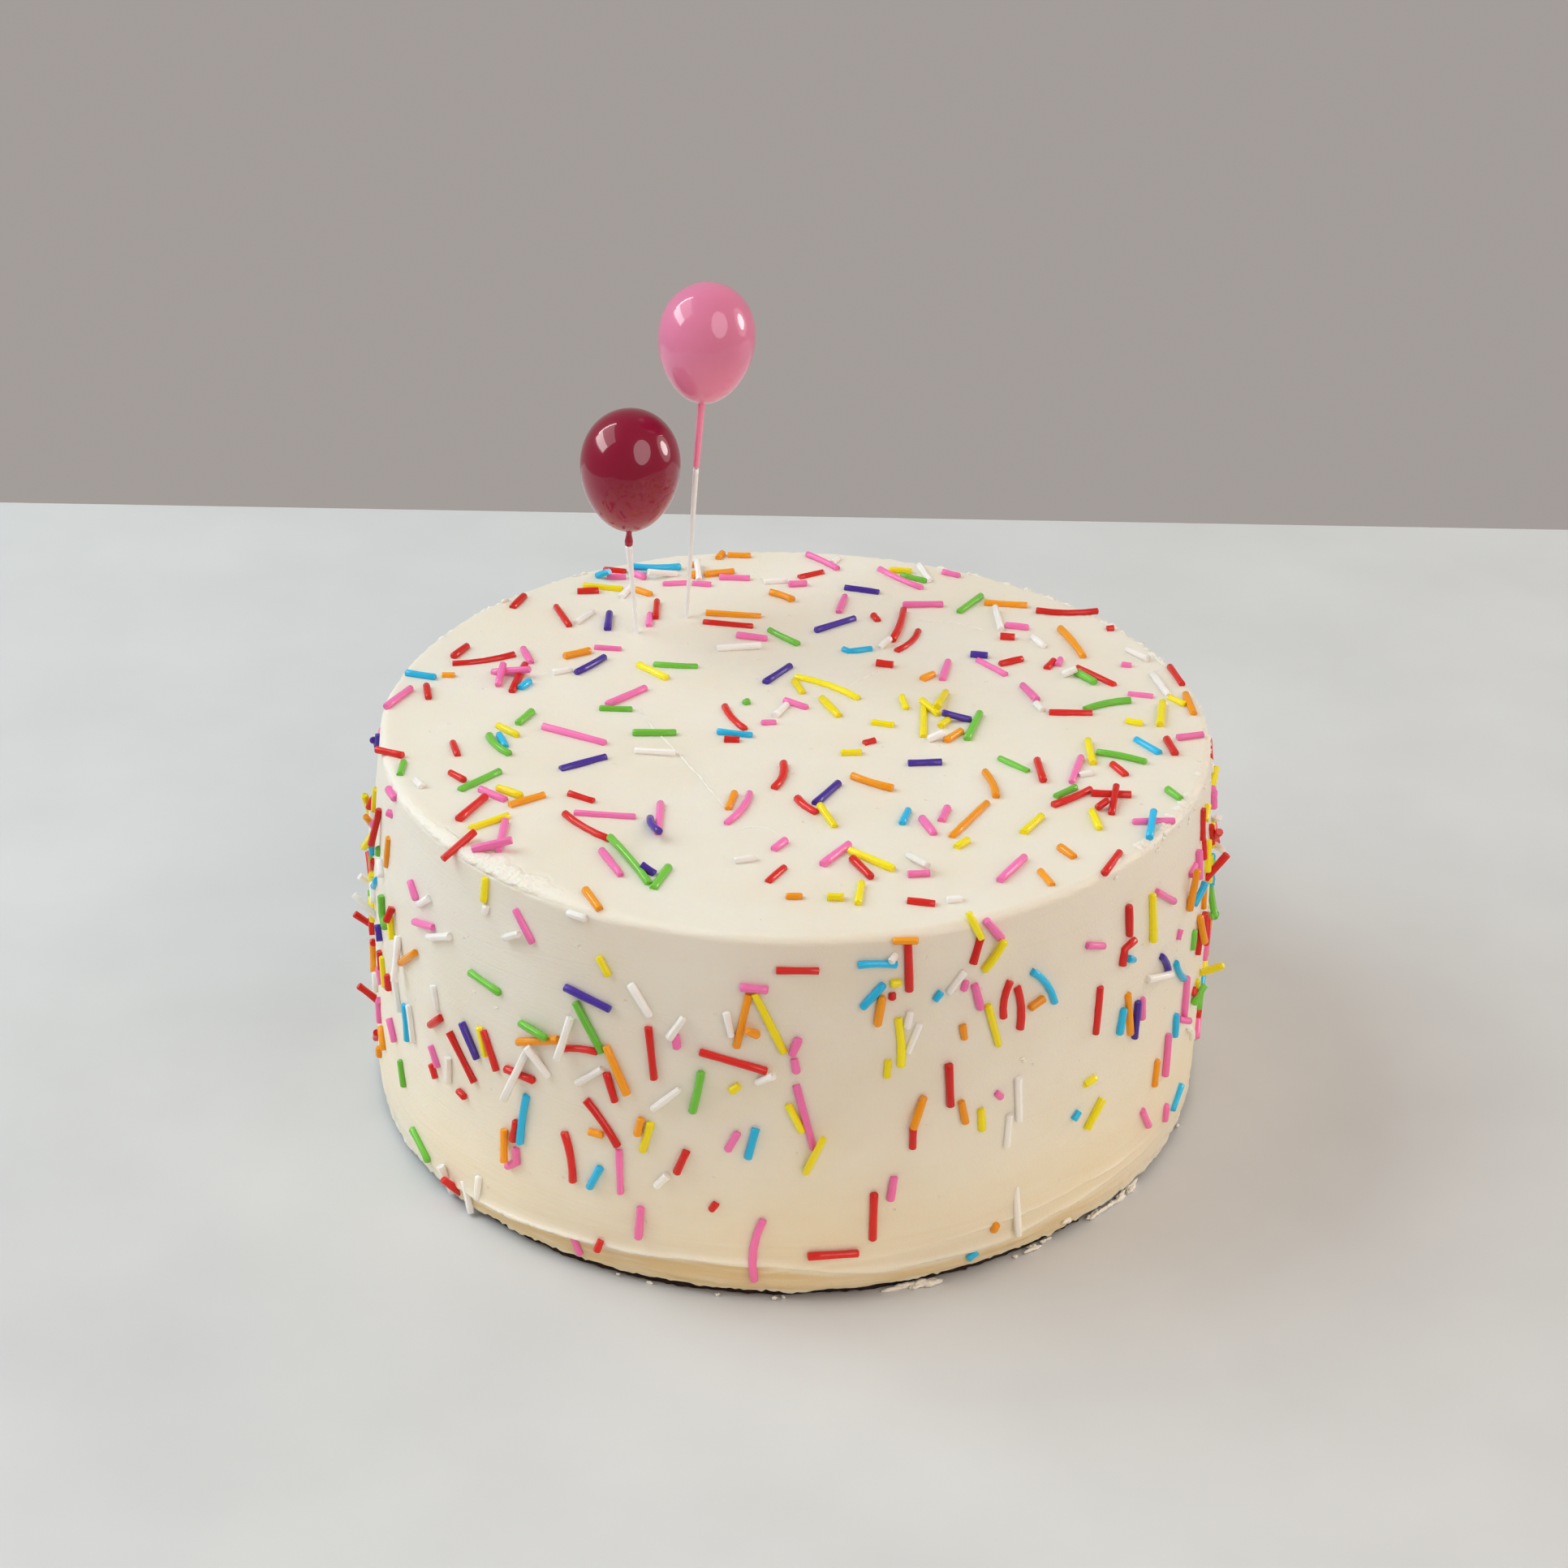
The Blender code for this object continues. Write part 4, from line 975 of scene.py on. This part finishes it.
class Scatter:
    """Lays strands on the finished icing one by one. Each is kept as the segment of its axis. A new one
    that would come nearer to another than their radii is leant on it or not laid."""

    def __init__(self, surface, sprinkles):
        self.surface = surface
        self.thickness = sprinkles.thickness
        self.rng = np.random.default_rng(sprinkles.seed)
        self.laid = []
        self.starts, self.ends, self.radii = np.zeros((0, 3)), np.zeros((0, 3)), np.zeros(0)

    def nearest(self, start, end):
        """For each laid strand: the distance between the two segments, and the shares of both at which
        they come nearest, by projecting from one to the other in turn."""
        ours, theirs = end - start, self.ends - self.starts
        share = np.full(len(self.radii), 0.5)
        for _ in range(6):
            there = (start + share[:, None] * ours - self.starts) * theirs
            other = np.clip(there.sum(axis=1) / (theirs**2).sum(axis=1), 0, 1)
            here = (self.starts + other[:, None] * theirs - start) @ ours
            share = np.clip(here / (ours @ ours), 0, 1)
        gap = start + share[:, None] * ours - self.starts - other[:, None] * theirs
        return np.linalg.norm(gap, axis=1), share

    def lay(
        self, kind, angle, distance, turn, length, bend=0.0, on_wall=True, hook=False, lift=0.0,
        lean=0.3, steepest=0.42, squeeze=0.12,
    ):
        """Lays one strand at an angle round the cake and a distance along the profile. On the wall turn
        is from upright to the right, and on the top it is from +X. lift is how steeply it stands out.
        lean is the chance that it leans where it meets another, steepest the slope at which it still may,
        and squeeze how far two may overlap as a share of the radius."""
        rng = self.rng
        draw = rng.uniform(size=8)
        radius = self.thickness / 2 * (0.92 + 0.16 * draw[0])
        sink = 0.15 + 0.27 * draw[1]
        centre, out = self.surface.at(angle, distance)
        if on_wall:
            up = unit(np.array([0, 0, 1.0]) - out[2] * out)
            right = np.cross(up, out)
            along = up * math.cos(turn) + right * math.sin(turn)
        else:
            flat = np.array([math.cos(turn), math.sin(turn), 0])
            along = unit(flat - (flat @ out) * out)
        raised = centre + out * (radius * (1 - 2 * sink))
        if lift:
            along, out = rolled(along, out, lift)
            raised = raised + along * (length / 2 - 1.2 * radius)
        half = along * (length / 2)
        if len(self.radii):
            away, share = self.nearest(raised - half, raised + half)
            overlap = radius + self.radii - away
            worst = int(np.argmax(overlap))
            if overlap[worst] > squeeze * radius:
                if draw[2] > lean or lift:
                    return False
                across = (share[worst] - 0.5) * length
                reach = abs(across) + length / 2
                rise = (radius + self.radii[worst]) * 0.96 * (1 - 0.3 * draw[3])
                slope = math.asin(min(rise / reach, 1.0))
                if slope > steepest:
                    return False
                sign = 1.0 if across >= 0 else -1.0
                low_end = raised - half * sign
                tilted, out = rolled(along * sign, out, slope)
                along = tilted * sign
                raised = low_end + tilted * (length / 2)
                half = along * (length / 2)
                away, _ = self.nearest(raised - half, raised + half)
                overlap = radius + self.radii - away
                overlap[worst] = 0
                if overlap.max() > (squeeze + 0.03) * radius:
                    return False
        self.starts = np.vstack([self.starts, raised - half])
        self.ends = np.vstack([self.ends, raised + half])
        self.radii = np.append(self.radii, radius)
        self.laid.append(
            dict(
                kind=kind, centre=raised, along=along, out=out, length=length, radius=radius, bend=bend,
                kink=0.25 + 0.5 * draw[4] if hook else 0.5, width=0.16 if hook else 1.0,
                blunt=float(draw[5] < 0.6), wobble=draw[6], tone=float(draw[7]),
            )
        )
        return True

    def random_strand(self):
        """A kind, a length and a bend with the mix of a sprinkle jar: many medium strands, fewer long
        ones, a few nubs, and one in ten hooked."""
        rng = self.rng
        names = [kind for kind, _, _ in SPRINKLE_KINDS]
        weights = np.array([weight for _, _, weight in SPRINKLE_KINDS])
        kind = rng.choice(names, p=weights / weights.sum())
        low, high = ((1.3, 2.5), (3.0, 4.5), (4.5, 7.5), (7.5, 11.5))[rng.choice(4, p=(0.10, 0.36, 0.38, 0.16))]
        strand_length = rng.uniform(low, high) * MM
        form = rng.uniform()
        if form < 0.1 and strand_length > 4 * MM:
            return kind, strand_length, rng.choice([-1, 1]) * rng.uniform(0.5, 1.1), True
        if form < 0.5:
            return kind, strand_length, rng.choice([-1, 1]) * rng.uniform(0.1, 0.45), False
        return kind, strand_length, rng.normal(0, 0.04), False

    def scatter_on_wall(self, count, angle, height):
        """Lays count random strands, most near upright, where angle() and height() say."""
        rng, tries, placed = self.rng, 0, 0
        while placed < count and tries < 12 * count:
            tries += 1
            kind, strand_length, bend, hook = self.random_strand()
            form = rng.uniform()
            turn = rng.normal(0, 0.5) if form < 0.62 else rng.uniform(-1.57, 1.57)
            at_angle, at_height = angle(), height()
            if abs(turn_from(at_angle, BY_HAND_AT)) < BY_HAND_REACH:
                continue
            reach = strand_length / 2 * abs(math.cos(turn))
            if not (LOOSE_FROM + reach * 0.6 < at_height < LOOSE_TO - reach):
                continue
            if at_height < SPARSE_UNDER and rng.uniform() < 0.55:
                continue
            lift = rng.uniform(0.3, 0.9) if rng.uniform() < 0.07 and strand_length < 7 * MM else 0.0
            distance = self.surface.row_at_height(at_height)
            placed += self.lay(
                kind, at_angle, distance, turn, strand_length, bend, hook=hook, lift=lift, lean=0.42
            )


# Pieces


def turned_points(radii, heights, base, turn, columns):
    """Rings round an axis that leans by turn about Y from base: ring k has radius radii[k] and lies
    heights[k] along the axis."""
    around = np.linspace(0, 2 * math.pi, columns, endpoint=False)
    across = np.array([math.cos(turn), 0, -math.sin(turn)])
    along = np.array([math.sin(turn), 0, math.cos(turn)])
    sideways = np.array([0, 1.0, 0])
    ring = np.cos(around)[:, None] * across + np.sin(around)[:, None] * sideways
    return np.asarray(base) + ring[None] * np.asarray(radii)[:, None, None] + (
        np.asarray(heights)[:, None, None] * along
    )


def pick_axes(size, pick):
    """Where the stick goes in, the point where stick and neck meet, and the two leans."""
    base = entry_point(size, pick["entry"])
    lean = math.radians(pick["lean"])
    joint = base + pick["stick"] * np.array([math.sin(lean), 0, math.cos(lean)])
    return base, joint, lean, lean + math.radians(pick["tilt"])


def balloon_outline(picks, pick):
    """Radii and heights from the crown down, about the balloon's centre. The egg's radius is
    R * sin(t) * (1 + fullness * cos(t)) at the height half_length * cos(t). It runs into the neck as the
    cube root of the sum of the two cubes, and the neck keeps its own outline to a rounded end."""
    t = np.linspace(0.03, 0.985 * math.pi, 72)
    heights = pick["scale"] * picks.half_length * np.cos(t)
    egg = pick["scale"] * picks.radius * np.sin(t) * (1 + picks.fullness * np.cos(t))
    shares, neck_radii = zip(*pick["neck"])
    down = np.linspace(0, 1, 30)
    neck_heights = -pick["scale"] * picks.half_length - down * pick["neck_length"]
    low = np.interp(down, shares, neck_radii)
    low = low * np.minimum(1, np.sqrt(np.clip(1 - down, 0.0, 1) / 0.03 + 0.12))
    blended = np.cbrt(egg**3 + (neck_radii[0] * ramp(t, 0.7 * math.pi, 0.85 * math.pi)) ** 3)
    keep = neck_heights < heights[-1] - 0.1 * MM
    return np.concatenate([blended, low[keep]]), np.concatenate([heights, neck_heights[keep]])


def blob_points(centres, axes, seed):
    """Small lumps: each is an ellipsoid of the three axes about its centre, its radius changed by about a
    fifth by smooth noise. Gives lumps by rows by columns by xyz."""
    rows, columns = 9, 12
    t = np.linspace(0.12, math.pi - 0.12, rows)[:, None]
    a = np.linspace(0, 2 * math.pi, columns, endpoint=False)
    ball = np.stack([np.sin(t) * np.cos(a), np.sin(t) * np.sin(a), np.cos(t) + 0 * a], axis=-1)
    points = np.einsum("rck,nkx->nrcx", ball, axes)
    size = np.linalg.norm(axes, axis=-1).mean(axis=1)[:, None, None, None]
    centres = centres[:, None, None]
    return centres + points * (1 + 0.2 * swell(points / size + centres / MM, 1.6, seed))[..., None]


# Points round a seam's section, and the distance between points along it
SEAM_SIDES, SEAM_STEP = 12, 0.8 * MM


def seam_points(surface, corners, height, half_width):
    """A fine raised seam through the given x, y corners of the top: a lens-shaped section swept along a
    smooth path on the icing, half a sine above the surface and a little below it, fading at both ends."""
    corners = np.array(corners) * MM
    reach = np.concatenate([[0], np.cumsum(np.linalg.norm(np.diff(corners, axis=0), axis=1))])
    count = max(8, int(reach[-1] / SEAM_STEP))
    run = np.linspace(0, reach[-1], count)
    xy = np.stack([np.interp(run, reach, corners[:, k]) for k in (0, 1)], axis=1)
    kernel = np.ones(7) / 7
    for _ in range(2):
        padded = np.pad(xy, ((3, 3), (0, 0)), mode="reflect", reflect_type="odd")
        xy = np.stack([np.convolve(padded[:, k], kernel, "valid") for k in (0, 1)], axis=1)
    path, out = surface.at(np.arctan2(xy[:, 1], xy[:, 0]), np.hypot(*xy.T))
    across = unit(np.cross(out, np.gradient(path, axis=0)))
    path = path + across * (0.08 * MM * swell(path, 6 * MM, 61))[:, None]
    fade = np.sin(np.linspace(0.02, math.pi - 0.02, count)) ** 0.4 * (0.8 + 0.25 * swell(path, 4 * MM, 62))
    a = np.linspace(2 * math.pi, 0, SEAM_SIDES, endpoint=False)
    rise = np.where(np.sin(a) > 0, height * np.sin(a), 0.25 * MM * np.sin(a))
    return (
        path[:, None]
        + across[:, None] * (np.cos(a) * half_width)[None, :, None] * fade[:, None, None]
        + out[:, None] * (rise[None] * fade[:, None])[..., None]
    )


# The rim's radius, and the distance between points along a burr
RIM_RADIUS, BURR_STEP = 79 * MM, 0.4 * MM


def burr_points(surface, start, end, inset, width, height, missing):
    """A torn burr along the rim: a ribbon whose section is half a sine above the icing and a little below
    it. Noise a millimetre long roughens its height and edges, and where the noise lies under the missing
    share the burr sinks into the icing."""
    turn = math.radians(end - start)
    count = int(turn * RIM_RADIUS / BURR_STEP)
    at = math.radians(start) + turn * np.linspace(0, 1, count)
    edge = surface.along[TOP_ROWS - 1] + 2.0 * MM - inset * MM
    ring = circle(at, RIM_RADIUS)
    wander = 0.3 * MM * swell(ring, 20 * MM, 71) + 0.08 * MM * swell(ring, 4 * MM, 72)
    fade = np.clip(np.sin(np.linspace(0.01, math.pi - 0.01, count)), 0, 1) ** 0.35
    wide = width * MM / 2 * fade * (0.9 + 0.18 * swell(ring, 3.2 * MM, 73))
    wide = np.maximum(wide, 0.12 * MM)
    there = swell(ring, 2.6 * MM, 74) + 0.5 * swell(ring, 9 * MM, 75)
    there = ramp(there, 1.6 * missing - 0.9, 1.6 * missing - 0.3)
    section = np.linspace(0, math.pi, 11)
    reach = edge + wander[:, None] - np.cos(section) * wide[:, None]
    base, out = surface.at(at[:, None], reach)
    grain = 1 + (0.2 + 0.35 * missing) * swell(base, 1.0 * MM, 76) + 0.16 * swell(base, 0.6 * MM, 77)
    rise = height * MM * np.sin(section) * (fade * there)[:, None] * np.clip(grain, 0.1, 2.2)
    upper = base + out * (rise - 0.06 * MM * (1 - np.sin(section)))[..., None]
    lower = base - out * (0.3 * MM)
    return np.concatenate([upper, lower[:, ::-1]], axis=1)[:, ::-1]


def lump_points(surface):
    """The loose lumps of icing: flat ones that lie on the floor round the foot, just out from the lip, and
    rounder ones stuck on wall and rim. Each is a noisy ellipsoid that lies level along the cake."""
    rng = np.random.default_rng(81)
    centres, axes = [], []
    for angle, spread, height, count, low, high in LUMPS:
        for _ in range(count):
            at = math.radians(rng.normal(angle, spread))
            long = rng.uniform(low, high) * MM
            if height is None:
                column = int((at + math.pi) / (2 * math.pi) * surface.columns) % surface.columns
                out = circle(at)
                centre = surface.points[surface.rows - 2, column] + out * rng.uniform(-0.7, 0.3) * MM
                centre[2] = rng.uniform(0.25, 0.6) * MM
                thick = 0.25 * MM + long * rng.uniform(0.04, 0.09)
            else:
                point, out = surface.at(at, surface.row_at_height((height + rng.normal(0, 1.0)) * MM))
                centre = point + out * long * 0.05
                thick = long * rng.uniform(0.2, 0.3)
            along = unit(np.cross([0, 0, 1.0], out))
            centres.append(centre)
            axes.append(np.stack([along * long / 2, out * thick, unit(np.cross(along, out)) * thick * 0.9]))
    points = blob_points(np.array(centres), np.array(axes), 82)
    points[..., 2] = np.maximum(points[..., 2], 0.02 * MM)
    return points


# Sides of the sponge foot, a stick and a balloon, and rings above and below the icing on a stick
SPONGE_SIDES, STICK_SIDES, BALLOON_SIDES, STICK_RINGS, SUNK_RINGS = 540, 20, 96, 24, 9


class CakeOperator(bpy.types.Operator):
    """What the cake's operators share"""

    bl_options = {"REGISTER", "UNDO"}


class BIRTHDAYCAKE_OT_buttercream(CakeOperator):
    """Adds the scraped buttercream with its seams, burrs and loose lumps"""

    bl_idname = "birthday_cake.buttercream"
    bl_label = "Buttercream"

    def execute(self, context):
        size = context.scene.cake_icing
        surface = Surface(size)
        obj = closed_surface("buttercream", surface.points)
        # Each point keeps how far it faces sideways, how pale it is as torn icing and painted highlight, and
        # how much painted warm reflection of a golden board it takes
        for name, values in (
            ("wall", ramp(1 - surface.normals[..., 2], 0.4, 0.9)),
            ("torn", surface.torn),
            ("foot", surface.painted_board_glow),
        ):
            add_point_value(obj, name, np.append(values.ravel(), [0, 0]))
        finish_piece(obj, buttercream_material(size, "scraped_buttercream", 1.0), ["frosted_cake"])

        broken_and_highlight = buttercream_material(size, "broken_buttercream", 0.0)
        # Seams, burrs and lumps take the paler colour: on the seams it is a painted highlight, on burrs and
        # lumps the colour of torn icing
        parts = [(f"icing_seam_{at}", seam_points(surface, *seam), 0.8) for at, seam in enumerate(TOP_SEAMS, 1)]
        parts += [(name, burr_points(surface, *burr), 0.8) for name, *burr in RIM_BURRS]
        for name, points, torn in (*parts, ("icing_lumps", lump_points(surface), 0.7)):
            part = closed_surface(name, points)
            add_point_value(part, "torn", np.full(len(part.data.vertices), torn))
            finish_piece(part, broken_and_highlight)
        return {"FINISHED"}


class BIRTHDAYCAKE_OT_sponge(CakeOperator):
    """Adds the chocolate sponge that shows at the foot"""

    bl_idname = "birthday_cake.sponge"
    bl_label = "Sponge foot"

    def execute(self, context):
        size = context.scene.cake_icing
        angle = np.linspace(-math.pi, math.pi, SPONGE_SIDES, endpoint=False)
        edge = size.radius - BAND_SET_BACK - LIP_THICKNESS - GAP
        # Shares of the edge's radius and of the foot's height, from the middle of the top down and round
        rows = (
            (0.01, 1.0), (0.5, 1.0), (0.985, 1.0), (1.0, 0.9), (1.0, 0.6), (1.0, 0.3), (0.995, 0.04),
            (0.97, 0.0), (0.5, 0.0), (0.01, 0.0),
        )
        share, level = (np.array(column)[:, None] for column in zip(*rows))
        radius = edge * share * np.ones_like(angle)
        height = FOOT_HEIGHT * level * np.ones_like(angle)
        points = lean_and_wave(size, radius, angle, height)
        side = ramp(share, 0.98, 1.0)
        crumb = 0.16 * MM * swell(points, 2.4 * MM, 91) + 0.1 * MM * swell(points, 1.1 * MM, 92) - 0.1 * MM
        points = points + circle(angle)[None] * (side * crumb)[..., None]
        obj = closed_surface("sponge_crumb_foot", points)
        finish_piece(obj, sponge_material(size), ["sponge_foot"])
        return {"FINISHED"}


class BIRTHDAYCAKE_OT_picks(CakeOperator):
    """Adds both balloon picks"""

    bl_idname = "birthday_cake.picks"
    bl_label = "Balloon picks"

    def execute(self, context):
        size, picks = context.scene.cake_icing, context.scene.cake_picks
        plastic = stick_material(picks)
        lacquers = {
            "pink": lacquer_material("pink_lacquer", picks.pink),
            "crimson": lacquer_material("crimson_lacquer", picks.crimson),
        }
        for name, pick in PICKS.items():
            base, joint, lean, turn = pick_axes(size, pick)
            shares, radii = zip(*pick["stick_radius"])
            down = np.linspace(1, 0, STICK_RINGS)
            deep = np.linspace(0, 1, SUNK_RINGS + 1)[1:]
            heights = [down * pick["stick"] - 0.02 * MM, -deep * (picks.stick_depth - 0.3 * MM)]
            heights = np.concatenate(heights)
            radius = np.concatenate([np.interp(down, shares, radii), radii[0] * (1 - 0.25 * deep)])
            points = turned_points(radius, heights, base, lean, STICK_SIDES)
            stick = closed_surface("pick_stick_" + name, points)
            finish_piece(stick, plastic, ["stick_" + name])

            radius, heights = balloon_outline(picks, pick)
            reach = pick["neck_length"] + pick["scale"] * picks.half_length
            points = turned_points(radius, heights + reach, joint, turn, BALLOON_SIDES)
            balloon = closed_surface("balloon_bead_" + name, points)
            # Painted reflected light from the cake below: none above just over the middle, rising to 0.6 lower
            # down, full on the neck
            low = -heights / picks.half_length
            painted_low_reflection = np.where(low > 0.96, 1.0, 0.6 * ramp(low, -0.15, 0.75))
            add_point_value(balloon, "painted_low_reflection", np.append(np.repeat(painted_low_reflection, BALLOON_SIDES), [0, 1]))
            finish_piece(balloon, lacquers[name], ["balloon_" + name])
        return {"FINISHED"}


def settled_on_top(x, y):
    """Where a strand of TOP_LAID comes to lie, in mm: the set is shifted and sheared by a little."""
    return x + TOP_SHIFT[0] + TOP_SHEAR[0] * y, y + TOP_SHIFT[1] + TOP_SHEAR[1] * x


def settled_on_wall(angle, height):
    """The same for WALL_LAID, in degrees and mm: the set is drawn in to the front and rises to the right."""
    away = angle - FRONT
    return angle + WALL_DRAW * away, height + WALL_RISE * away


class BIRTHDAYCAKE_OT_sprinkles(CakeOperator):
    """Adds the sugar sprinkles, one piece for each colour"""

    bl_idname = "birthday_cake.sprinkles"
    bl_label = "Sprinkles"

    def execute(self, context):
        size, sprinkles = context.scene.cake_icing, context.scene.cake_sprinkles
        scatter = Scatter(Surface(size), sprinkles)
        rng = scatter.rng
        # A listed strand may always lean, and steeply
        by_hand = dict(lean=1.0, steepest=1.1, squeeze=0.9)
        for kind, rows in TOP_LAID.items():
            for x, y, turn, strand_length, *bend in rows:
                x, y = settled_on_top(x, y)
                scatter.lay(
                    kind, math.atan2(y, x), math.hypot(x, y) * MM, math.radians(turn), strand_length * MM,
                    math.radians(sum(bend)), on_wall=False, hook=abs(sum(bend)) > HOOK_FROM, **by_hand,
                )
        for kind, rows in WALL_LAID.items():
            for angle, height, turn, strand_length, *bend in rows:
                angle, height = settled_on_wall(angle, height)
                scatter.lay(
                    kind, math.radians(angle), scatter.surface.row_at_height(height * MM), math.radians(turn),
                    strand_length * MM, math.radians(sum(bend)), hook=abs(sum(bend)) > HOOK_FROM, **by_hand,
                )
        for angle, spread, height, spread_up, count in WALL_DRIFTS:
            scatter.scatter_on_wall(
                count,
                lambda: math.radians(rng.normal(angle, spread)),
                lambda: rng.normal(height, spread_up) * MM,
            )
        scatter.scatter_on_wall(
            sprinkles.wall_count, lambda: rng.uniform(0.1, 2.8), lambda: rng.uniform(10, 72) * MM
        )
        for kind, text, _ in SPRINKLE_KINDS:
            strands = [strand for strand in scatter.laid if strand["kind"] == kind]
            if strands:
                obj = make_strands("sprinkles_" + kind, strands)
                finish_piece(obj, sprinkle_material(kind, from_hex(text)))
        return {"FINISHED"}


def add_lamp(name, spread, energy, tint, axes, middle, seen_by):
    """Adds an area lamp that shines against the third of its axes. Lamps of glare are elliptical."""
    data = bpy.data.lights.new(name, "AREA")
    data.shape = "ELLIPSE" if "glare" in name else "RECTANGLE"
    data.size, data.size_y = spread
    data.energy, data.color = energy, from_hex(tint)
    lamp = bpy.data.objects.new(name, data)
    bpy.context.scene.collection.objects.link(lamp)
    lamp.matrix_world = placed(*axes, middle)
    lamp.visible_camera = False
    lamp.visible_glossy = seen_by == "gloss"
    lamp.visible_diffuse = seen_by == "diffuse"


class BIRTHDAYCAKE_OT_stage(CakeOperator):
    """Adds the pale floor, the studio lights and the camera"""

    bl_idname = "birthday_cake.stage"
    bl_label = "Floor, lights and camera"

    def execute(self, context):
        scene, stage = context.scene, context.scene.cake_stage
        left, right, front, back = FLOOR_EDGES
        share = np.linspace(0, 1, FLOOR_LINES)
        x = left + (right - left) * share[None] + 0 * share[:, None]
        y = front + (back - front) * share[:, None] + 0 * share[None]
        index = np.arange(FLOOR_LINES**2).reshape(FLOOR_LINES, FLOOR_LINES)
        quads = np.stack([index[:-1, :-1], index[:-1, 1:], index[1:, 1:], index[1:, :-1]], axis=-1)
        floor = make_object("pale_floor", np.stack([x, y, 0 * x], axis=-1), quads.reshape(-1, 4).tolist())
        floor.data.materials.append(floor_material(stage))

        for name, toward, far, shift, spread, roll, key, share, tint, seen_by in LAMPS:
            away = unit(np.array(toward))
            right = unit(np.cross([0, 0, 1.0], away))
            over = np.cross(away, right)
            middle = LAMP_AIM + far * away + shift[0] * right + shift[1] * over
            axes = (*rolled(right, over, math.radians(roll)), away)
            add_lamp(name, spread, share * getattr(stage, key), tint, axes, middle, seen_by)
        for number in range(BOUNCES):
            turn = 2 * math.pi * number / BOUNCES
            far, side_on = circle(turn), circle(turn + math.pi / 2)
            middle = far * BOUNCE_RING + np.array([0, 0, BOUNCE_HEIGHT])
            axes = (far, -side_on, np.array([0, 0, -1.0]))
            add_lamp(f"foot_bounce_{number}", BOUNCE_SIZE, stage.bounce, BOUNCE_TINT, axes, middle, "diffuse")

        world = bpy.data.worlds.new("studio_room")
        scene.world = world
        world.use_nodes = True
        room = {"Color": from_hex(ROOM_TINT), "Strength": stage.room}
        fill_inputs(world.node_tree.nodes["Background"], room)

        data = bpy.data.cameras.new("camera")
        data.lens, data.sensor_width = stage.lens, 36.0
        camera = bpy.data.objects.new("camera", data)
        scene.collection.objects.link(camera)
        tilt = stage.elevation
        behind = np.array([0, -math.cos(tilt), math.sin(tilt)])
        level, up = np.array([1.0, 0, 0]), np.array([0, math.sin(tilt), math.cos(tilt)])
        axes = (*rolled(level, up, stage.roll), behind)
        camera.matrix_world = placed(*axes, CAMERA_AIM + stage.distance * behind)
        scene.camera = camera
        scene.view_settings.view_transform = "Standard"
        scene.view_settings.look = "None"
        return {"FINISHED"}


class BIRTHDAYCAKE_PT_panel(bpy.types.Panel):
    """Lists the cake's operators and settings"""

    bl_idname = "BIRTHDAYCAKE_PT_panel"
    bl_label = "Birthday cake"
    bl_space_type = "VIEW_3D"
    bl_region_type = "UI"
    bl_category = "Cake"

    def draw(self, context):
        groups = (
            ("cake_icing", (BIRTHDAYCAKE_OT_buttercream, BIRTHDAYCAKE_OT_sponge)),
            ("cake_sprinkles", (BIRTHDAYCAKE_OT_sprinkles,)),
            ("cake_picks", (BIRTHDAYCAKE_OT_picks,)),
            ("cake_stage", (BIRTHDAYCAKE_OT_stage,)),
        )
        for name, operators in groups:
            box = self.layout.box()
            settings = getattr(context.scene, name)
            for key in settings.__annotations__:
                box.prop(settings, key)
            for operator in operators:
                box.operator(operator.bl_idname)


CLASSES = (
    CakeIcing,
    CakeSprinkles,
    CakePicks,
    CakeStage,
    BIRTHDAYCAKE_OT_buttercream,
    BIRTHDAYCAKE_OT_sponge,
    BIRTHDAYCAKE_OT_picks,
    BIRTHDAYCAKE_OT_sprinkles,
    BIRTHDAYCAKE_OT_stage,
    BIRTHDAYCAKE_PT_panel,
)


def register():
    """Registers the classes and hangs the settings on the scene."""
    for cls in CLASSES:
        bpy.utils.register_class(cls)
    bpy.types.Scene.cake_icing = PointerProperty(type=CakeIcing)
    bpy.types.Scene.cake_sprinkles = PointerProperty(type=CakeSprinkles)
    bpy.types.Scene.cake_picks = PointerProperty(type=CakePicks)
    bpy.types.Scene.cake_stage = PointerProperty(type=CakeStage)


def unregister():
    """Takes the settings and classes away again."""
    for name in ("cake_icing", "cake_sprinkles", "cake_picks", "cake_stage"):
        delattr(bpy.types.Scene, name)
    for cls in reversed(CLASSES):
        bpy.utils.unregister_class(cls)


def main():
    """Registers the classes and builds the cake and its stage."""
    register()
    for operator in (
        bpy.ops.birthday_cake.buttercream,
        bpy.ops.birthday_cake.sponge,
        bpy.ops.birthday_cake.picks,
        bpy.ops.birthday_cake.sprinkles,
        bpy.ops.birthday_cake.stage,
    ):
        if operator() != {"FINISHED"}:
            raise RuntimeError("an operator did not finish")


if __name__ == "__main__":
    main()
